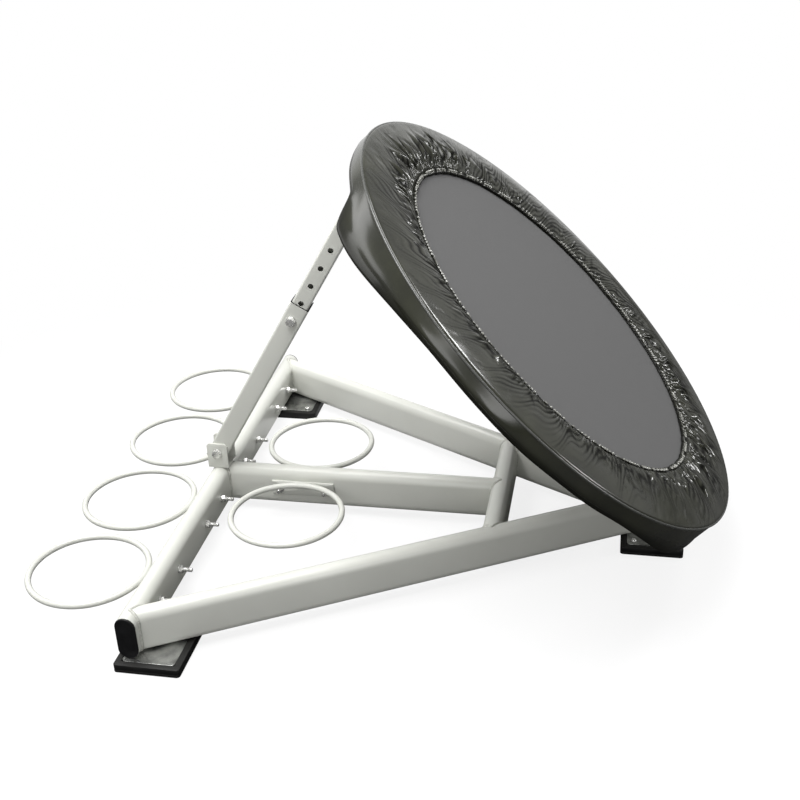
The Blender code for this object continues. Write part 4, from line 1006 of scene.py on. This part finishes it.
turn = np.linspace(0, 2 * pi, 240, endpoint=False)
section = np.linspace(0, 2 * pi, 24, endpoint=False)
tubeR = tramp["tube"] / 2
grid = onMat(tramp["ring"] + tubeR * np.cos(section)[None, :], turn[:, None], tubeR * np.sin(section)[None, :] - tramp["drop"])
ringShapes = [gridShape(grid, wrapRows=True)]
for angle in tramp["sockets"]:
    at = onMat(tramp["ring"], radians(angle), 0.0) - tramp["drop"] * matOut
    steps = [(tramp["socket"] / 2, 0.0), (tramp["socket"] / 2, tramp["socketLength"] - 0.0005),
             (tramp["socket"] / 2 - 0.0005, tramp["socketLength"]), (tramp["bore"] / 2 + 0.0004, tramp["socketLength"]),
             (tramp["bore"] / 2, tramp["socketLength"] - 0.0005), (tramp["bore"] / 2, 0.004), (0.0, 0.004)]
    side, other = np.array([1.0, 0, 0]), matUp
    around = np.linspace(0, 2 * pi, 28, endpoint=False)
    rows = [at - matOut * depth + radius * (np.cos(around)[:, None] * side + np.sin(around)[:, None] * other)
            for radius, depth in [(0.0, 0.0)] + steps]
    ringShapes.append(gridShape(np.array(rows)))
    beadTurn = np.linspace(0, 2 * pi, 60, endpoint=False)
    spread = tramp["socket"] / 2 + 0.0008
    radial = np.array([cos(radians(angle)), sin(radians(angle))])
    across = np.cos(beadTurn) * radial[0] + np.sin(beadTurn) * radial[1]
    sag = np.sqrt(np.clip(tubeR ** 2 - (spread * across) ** 2, 0.00002, None))
    path = at + spread * (np.cos(beadTurn)[:, None] * side + np.sin(beadTurn)[:, None] * other) - sag[:, None] * matOut
    ringShapes.append(swept(path, 0.0022 + 0.0003 * np.sin(beadTurn * 14), 8, matOut, closed=True))
addPiece("ringTube", joined(ringShapes), powderCoat, "trampoline", ["ring_frame"], smoothAngle=45)

# mat: a disc on rings of points, with a sewn edge band
radii = np.concatenate([np.linspace(0, tramp["mat"] - 0.010, 24), tramp["mat"] - np.array([0.0085, 0.008, 0.004, 0.001, 0])])
turn = np.linspace(0, 2 * pi, 180, endpoint=False)
thick = tramp["matThick"] / 2
rise = np.where(radii > tramp["mat"] - 0.0083, thick, thick - 0.0004)
rise[-1] = thick * 0.4
top = onMat(radii[:, None], turn[None, :], rise[:, None])
bottom = onMat(radii[::-1, None], turn[None, :], -rise[::-1, None])
mat = addPiece("jumpingMat", gridShape(np.concatenate([top, bottom])), matCloth, "trampoline", ["mat"])
flatMap = mat.data.uv_layers.new(name="flatCloth")
corners = np.empty(len(mat.data.loops), np.int32)
mat.data.loops.foreach_get("vertex_index", corners)
coords = np.empty(len(mat.data.vertices) * 3)
mat.data.vertices.foreach_get("co", coords)
away = coords.reshape(-1, 3)[corners] - matCentre
flatMap.data.foreach_set("uv", np.column_stack([away[:, 0], away @ matUp]).ravel())

# springs: helices with a straight hook at each end, from the hem's rings to the ring tube
coilR = (tramp["coil"] - tramp["wire"]) / 2
innerEnd, outerEnd = tramp["mat"] + gap + tramp["hem"] / 2, 0.43588
coilStart, coilEnd = innerEnd + 0.009, outerEnd - 0.008
turns = 20
t = np.linspace(0, 1, turns * 9 + 1)
reach = np.concatenate([np.linspace(innerEnd, coilStart, 5)[:-1], coilStart + t * (coilEnd - coilStart),
                        np.linspace(coilEnd, outerEnd, 5)[1:]])
swell = np.concatenate([np.linspace(0, 1, 5)[:-1], np.ones(len(t)), np.linspace(1, 0, 5)[1:]])
wind = np.concatenate([np.zeros(4), t * turns * 2 * pi, np.full(4, turns * 2 * pi)])
springShapes = []
for number in range(tramp["springs"]):
    angle = (number + 0.5) * 2 * pi / tramp["springs"]
    outward = cos(angle) * np.array([1.0, 0, 0]) + sin(angle) * matUp
    sideways = -sin(angle) * np.array([1.0, 0, 0]) + cos(angle) * matUp
    path = matCentre + reach[:, None] * outward + (coilR * swell * np.cos(wind))[:, None] * sideways \
        + (coilR * swell * np.sin(wind))[:, None] * matOut
    springShapes.append(swept(path, tramp["wire"] / 2, 5, outward + 0.01 * sideways))
hemTurn = np.linspace(0, 2 * pi, 180, endpoint=False)
hemSection = np.linspace(0, 2 * pi, 10, endpoint=False)
hemMiddle = tramp["mat"] + gap + tramp["hem"] / 2
grid = onMat(hemMiddle + tramp["hem"] / 2 * np.cos(hemSection)[None, :], hemTurn[:, None],
             tramp["hemThick"] / 2 * np.sin(hemSection)[None, :])
springShapes.append(gridShape(grid, wrapRows=True))
addPiece("springs", joined(springShapes), springWire, "trampoline", ["spring_set"], smoothAngle=60)
print("ring, mat and springs done")


# Frame pad: a gathered vinyl cover over foam

pad = {"inner": 0.3535, "outer": 0.4825, "gathers": 228, "beadRise": 0.0026, "groove": 0.0008, "pleatRise": 0.0030,
       "foldRise": 0.0102, "crumple": 0.0009, "depth": 0.031, "drop": 0.040, "bulge": 0.004, "columns": 1596,
       "twist": 54.0, "edge": 0.0054, "pressure": 2.5, "cap": 0.0012, "clothFrames": 14}


def lobe(degrees, centre, before, after):
    # 1 at a centre angle, falling smoothly to 0 over the degrees before and after it
    delta = (degrees - centre + 180) % 360 - 180
    return 0.5 + 0.5 * np.cos(pi * np.clip(delta / np.where(delta < 0, before, after), -1, 1))


def splineRows(stations, counts):
    # a smooth line through stations of (radius, height), each an array round the ring; a station given twice is a corner
    radius = np.array([np.broadcast_to(r, pad["columns"]) for r, h in stations])
    height = np.array([np.broadcast_to(h, pad["columns"]) for r, h in stations])
    last = len(stations) - 1
    rows = []
    for k in range(last):
        before, after = max(k - 1, 0), min(k + 2, last)
        for t in np.arange(counts[k]) / counts[k]:
            t2, t3 = t * t, t * t * t
            weights = (-0.5 * t3 + t2 - 0.5 * t, 1.5 * t3 - 2.5 * t2 + 1, -1.5 * t3 + 2 * t2 + 0.5 * t, 0.5 * t3 - 0.5 * t2)
            rows.append([sum(w * values[i] for w, i in zip(weights, (before, k, k + 1, after)))
                         for values in (radius, height)])
    rows.append([radius[-1], height[-1]])
    return np.array(rows)[:, 0], np.array(rows)[:, 1]


def valleysAlong(phase, sharpness):
    # 1 in the valley at each whole step of phase, falling to 0 on the crests: the larger the sharpness, the narrower
    return np.abs(2 * (phase - np.floor(phase)) - 1) ** sharpness


def ridgesAlong(phase, sharpness, heights):
    # 1 on the crest of each whole step of phase and 0 in the sharp valleys between, each ridge with its own height
    share = phase - np.floor(phase)
    which = np.floor(phase).astype(int) % len(heights)
    return heights[which] * (1 - np.abs(2 * share - 1) ** sharpness), which


def gatherPhase(turn, out):
    # how many gathers have been passed at an angle: their lines lean over with the distance from the hem
    lean = pad["twist"] + 8.0 * waver(turn, (2, 3, 5, 9), 4)
    return pad["gathers"] * turn / (2 * pi) + 0.5 * waver(turn, (23, 37, 51, 68), 3) + lean * out


def gatherHeight(out, turn):
    # out is the distance from the hem: beads in the hem, a stitched groove, then pleats that run together into fewer,
    # longer folds, and small crumples that fade with them
    count = pad["gathers"]
    dice = np.random.default_rng(5)
    degrees = np.degrees(turn)
    strength = 0.42 + 0.58 * np.maximum(lobe(degrees, 78, 60, 38), lobe(degrees, 270, 52, 62)) + 0.06 * waver(turn, (4, 7), 21)
    phase = gatherPhase(turn, out)
    pleat, which = ridgesAlong(phase, 1.9, dice.uniform(0.4, 1.2, count))
    reach = dice.uniform(0.028, 0.09, count)[which]
    bead = (0.6 + 0.4 * np.clip(pleat, 0, 1)) * ridgesAlong(phase, 2.2, dice.uniform(0.8, 1.1, count))[0]
    bead = bead * smoothStep(-0.0012, 0.0012, out) * (1 - smoothStep(0.0045, 0.0085, out))
    groove = smoothStep(0.004, 0.008, out) * (1 - smoothStep(0.0085, 0.0135, out))
    first = pleat * smoothStep(0.0075, 0.016, out) * (1 - smoothStep(0.25 * reach, reach, out)) ** 1.3
    folds = phase / 3.6 + 0.7 * waver(turn, (11, 17, 29), 6)
    second, which = ridgesAlong(folds, 1.4, 0.15 + 1.05 * dice.uniform(0, 1, count) ** 1.8)
    length, begin = dice.uniform(0.08, 0.13, count)[which], dice.uniform(0.011, 0.032, count)[which]
    length = length * (0.25 + 0.75 * strength)
    second = second * smoothStep(begin, begin + 0.018, out) * (1 - smoothStep(0.5 * length, length, out))
    crumple = 0
    for waves, run in zip(dice.integers(160, 560, 20), dice.normal(0, 190, 20)):
        crumple = crumple + np.sin(waves * turn + run * out + dice.uniform(0, 2 * pi))
    crumple = np.abs(crumple / 4.5) * smoothStep(0.006, 0.012, out) * (1 - smoothStep(0.02, 0.055, out))
    height = pad["beadRise"] * bead - pad["groove"] * groove + pad["pleatRise"] * (0.45 + 0.55 * strength) * first \
        + strength * (pad["foldRise"] * second + pad["crumple"] * crumple)
    tail = dice.uniform(0.08, 0.17, count)[np.floor(phase).astype(int) % count]
    # painted shade: darker in the valleys between the beads of the hem and in the stitched groove
    inHem = smoothStep(-0.0025, 0.0, out) * (1 - smoothStep(0.0065, 0.0085, out))
    paintedShade = 0.95 * np.clip(1.5 * valleysAlong(phase, 3.0), 0, 1) * inHem + 0.8 * groove
    # painted shade along the hem's inner edge, where its rolled edge lies in shade
    paintedShade = paintedShade + 0.9 * (1 - smoothStep(0.0015, 0.0035, out))
    # painted shade in the valleys of the pleats and of the folds
    depth = dice.uniform(0.3, 1.4, count)[np.floor(phase + 0.5).astype(int) % count]
    paintedShade = paintedShade + np.clip(1.3 * depth * valleysAlong(phase, 1.8), 0, 1) * smoothStep(0.008, 0.014, out) * (1 - smoothStep(0.4 * tail, tail, out))
    paintedShade = paintedShade + np.clip(1.7 * valleysAlong(folds, 5.0), 0, 1) * smoothStep(begin, begin + 0.018, out) * (1 - smoothStep(0.5 * length, 1.2 * length, out))
    # painted highlight on the crest of each bead
    paintedHighlight = (1 - valleysAlong(phase, 1.3)) ** 1.6 * smoothStep(0.0, 0.0015, out) * (1 - smoothStep(0.0045, 0.0065, out))
    return height, np.clip(paintedHighlight - paintedShade, -1, 1)


def puffed(radius, height, turn, free):
    # cloth pressed outwards by the foam, on every second row and fourth column: how far each free point moves,
    # no further than the cap, is then spread over all the points by periodic cubic interpolation
    r, h, t = radius[:-1:2, ::4], height[:-1:2, ::4], turn[:-1:2, ::4]
    rows, cols = r.shape
    points = np.stack([r * np.cos(t), r * np.sin(t), h], -1)
    mesh = bpy.data.meshes.new("padCloth")
    mesh.from_pydata(points.reshape(-1, 3), [], gridFaces(rows, cols, wrapRows=True).tolist())
    work = bmesh.new()
    work.from_mesh(mesh)
    bmesh.ops.recalc_face_normals(work, faces=work.faces)
    work.to_mesh(mesh)
    work.free()
    sheet = bpy.data.objects.new("padCloth", mesh)
    bpy.context.scene.collection.objects.link(sheet)
    held = sheet.vertex_groups.new(name="held")
    pushed = sheet.vertex_groups.new(name="pushed")
    slack = np.clip(0.55 + 0.45 * waver(t[0], (5, 8, 13, 21, 34), 17), 0.05, 1.0)
    for row in range(rows):
        if free[2 * row] == 0:
            held.add(list(range(row * cols, (row + 1) * cols)), 1.0, "REPLACE")
    for col in range(cols):
        pushed.add(list(range(col, rows * cols, cols)), float(slack[col]), "REPLACE")
    cloth = sheet.modifiers.new("cloth", "CLOTH")
    settings = cloth.settings
    settings.quality = 5
    settings.use_pressure = True
    settings.uniform_pressure_force = pad["pressure"]
    settings.vertex_group_pressure = "pushed"
    settings.vertex_group_mass = "held"
    settings.effector_weights.gravity = 0.0
    cloth.collision_settings.use_collision = False
    cloth.collision_settings.use_self_collision = False
    cloth.point_cache.frame_start, cloth.point_cache.frame_end = 1, pad["clothFrames"]
    for frameNumber in range(1, pad["clothFrames"] + 1):
        bpy.context.scene.frame_set(frameNumber)
    moved = np.empty(rows * cols * 3)
    sheet.evaluated_get(bpy.context.evaluated_depsgraph_get()).data.vertices.foreach_get("co", moved)
    moved = moved.reshape(rows, cols, 3)
    bpy.data.objects.remove(sheet, do_unlink=True)
    bpy.context.scene.frame_set(1)
    shift = np.stack([np.hypot(moved[..., 0], moved[..., 1]) - r, moved[..., 2] - h])
    size = np.linalg.norm(shift, axis=0)
    print("pad cloth moved", round(float(size.max()) * 1000, 2), "mm at most,", round(float(np.median(size[size > 1e-5]) * 1000), 2), "mm in the middle")
    shift *= np.tanh(size / pad["cap"]) * pad["cap"] / np.maximum(size, 1e-9) * free[:-1:2, None]
    f = (np.arange(4) / 4)[:, None]
    weights = (-0.5 * f ** 3 + f ** 2 - 0.5 * f, 1.5 * f ** 3 - 2.5 * f ** 2 + 1, -1.5 * f ** 3 + 2 * f ** 2 + 0.5 * f,
               0.5 * f ** 3 - 0.5 * f ** 2)
    fine = sum(w.ravel() * np.roll(shift, step, axis=2)[..., None] for w, step in zip(weights, (1, 0, -1, -2)))
    fine = fine.reshape(2, rows, -1)
    fine = np.concatenate([fine, fine[:, :1]], 1)
    at = np.arange(len(radius)) / 2
    low = np.minimum(at.astype(int), rows - 1)
    spread = fine[:, low] + (at - low)[None, :, None] * (fine[:, low + 1] - fine[:, low])
    return radius + spread[0], height + spread[1]


def makePad():
    columns = np.linspace(0, 2 * pi, pad["columns"], endpoint=False)
    slant = pad["twist"] * 2 * pi / pad["gathers"]                   # radians per metre that the grid turns with the creases
    turn = columns - slant * (pad["outer"] - pad["inner"])
    degrees = np.degrees(turn)
    mirrored = np.where(np.cos(turn) > 0, 180 - degrees, degrees) % 360
    lobes = np.maximum(lobe(mirrored, 121, 9, 36), lobe(mirrored, 240, 36, 40))
    billow = lobe(mirrored, 158, 30, 62)                             # the skirt swells over the rim halfway down
    inner, outer, edge = pad["inner"] + 0.0005 * waver(columns, (7, 19, 60, 95), 8), pad["outer"], pad["edge"]
    scallop, which = ridgesAlong(pad["gathers"] * columns / (2 * pi) + 0.5 * waver(columns, (23, 37, 51, 68), 3), 2.0,
                                 np.ones(pad["gathers"]))
    inner = inner - 0.0007 * scallop
    depth = pad["depth"] + pad["drop"] * lobes + 0.0008 * waver(turn, (5, 9, 14), 9)
    side = tramp["ring"] + tramp["tube"] / 2
    ripple = 0.0010 * waver(turn, (11, 16, 23), 10)
    hemR = outer - 0.0015 + pad["bulge"] * lobes
    swell = outer + 0.0006 + 0.0048 * billow + 0.0012 * waver(turn, (6, 11, 17), 14)
    stations = [(inner + 0.003, 0.0013), (inner, 0.0016), (inner - 0.0006, 0.0034), (inner + 0.0022, 0.0056),
                (inner + 0.006, 0.0058), (inner + 0.0085, 0.0062), (inner + 0.018, 0.0082), (inner + 0.04, 0.0120),
                (0.425, 0.0134), (0.450, 0.0126), (0.470, 0.0108), (outer - 0.0040, 0.0090), (outer - 0.0018, edge + 0.0012),
                (outer - 0.0018, edge + 0.0012), (outer - 0.0005, edge - 0.0024), (swell, -0.0045 - 0.4 * depth),
                (0.4 * swell + 0.6 * hemR + ripple, -0.75 * depth), (hemR + 0.0006 + ripple, -depth + 0.003),
                (hemR - 0.0012 + ripple, -depth), (hemR - 0.003 + ripple, -depth + 0.0025),
                (hemR - 0.0032 + ripple, -0.8 * depth), (side + 0.004, -0.4 * pad["depth"]), (side + 0.003, 0.0),
                (side - 0.004, 0.0050), (0.42, 0.0052), (tramp["mat"] + 0.006, 0.0050), (inner + 0.008, 0.0016),
                (inner + 0.003, 0.0013)]
    counts = [1, 2, 3, 3, 3, 9, 13, 11, 8, 5, 5, 4, 1, 2, 6, 6, 3, 2, 2, 2, 4, 3, 3, 2, 2, 2, 1]
    radius, height = splineRows(stations, counts)
    turn = columns - slant * (radius - pad["inner"])
    rows, free = np.arange(len(radius)), 0                           # free: rows that are neither sewn nor on foam
    for first, last in ((sum(counts[:5]), sum(counts[:12]) - 2), (sum(counts[:14]), sum(counts[:17]))):
        way = (rows - first) / (last - first)
        free = free + smoothStep(0, 0.3, way) * (1 - smoothStep(0.65, 1, way))
    radius, height = puffed(radius, height, turn, free)
    top = (np.arange(len(radius)) >= 2) & (np.arange(len(radius)) < sum(counts[:12]))
    rise, tone = gatherHeight(radius - inner, turn)
    # painted shade on the skirt, darker towards its lower edge
    skirtPaintedShade = -0.8 * smoothStep(0.35, 1.0, -height / depth)          # the skirt darkens towards its lower edge
    height, tone = height + np.where(top[:, None], rise, 0.0), np.where(top[:, None], tone, skirtPaintedShade)
    grid = onMat(radius[:-1], turn[:-1], height[:-1])
    piece = addPiece("framePad", gridShape(grid, wrapRows=True), vinylCover, "trampoline", ["frame_pad"],
                     smoothAngle=75, tone=tone[:-1].ravel())
    return lobes


makePad()

# piping: a round bead over the seam between the top and the skirt
turn = np.linspace(0, 2 * pi, 720, endpoint=False)
path = onMat(pad["outer"] - 0.0010, turn, pad["edge"])
addPiece("padPiping", swept(path, 0.0021 + 0.00008 * np.sin(turn * 180), 10, matOut, closed=True), pipingVinyl,
         "trampoline")

# hem tufts: a small puffed ellipsoid on the crest of every gather, just outside the edge of the hem, pale to paint a
# highlight on each
tuft = {"out": 0.0060, "height": 0.0084, "half": (0.0030, 0.0026, 0.0018)}
order, tuftTurn = np.arange(pad["gathers"]) + 0.5, 0.0
for step in range(12):
    tuftTurn = (order - gatherPhase(tuftTurn, tuft["out"])) * 2 * pi / pad["gathers"] + tuftTurn
around = np.linspace(0, 2 * pi, 8, endpoint=False)
lengthwise = np.array([-1.0, -0.72, 0.0, 0.72, 1.0])
fat = np.sqrt(np.maximum(1 - lengthwise ** 2, 0.002))
size = np.random.default_rng(31).uniform(0.8, 1.1, len(order))[:, None, None]
spots = tuftTurn[:, None, None] + size * (lengthwise * tuft["half"][0] / (pad["inner"] + tuft["out"]))[None, :, None]
tuftR = pad["inner"] + tuft["out"] + size * tuft["half"][1] * fat[None, :, None] * np.cos(around)[None, None, :]
tuftH = tuft["height"] + size * tuft["half"][2] * fat[None, :, None] * np.sin(around)[None, None, :]
points = onMat(tuftR, spots, tuftH).reshape(len(order), -1, 3)
oneFaces = gridFaces(len(lengthwise), len(around))
faces = (oneFaces[None] + (np.arange(len(order)) * points.shape[1])[:, None, None]).reshape(-1, 4)
addPiece("padHemTufts", (points.reshape(-1, 3), faces), tuftPaintedHighlight, "trampoline", turnOut=True)
print("frame pad done")
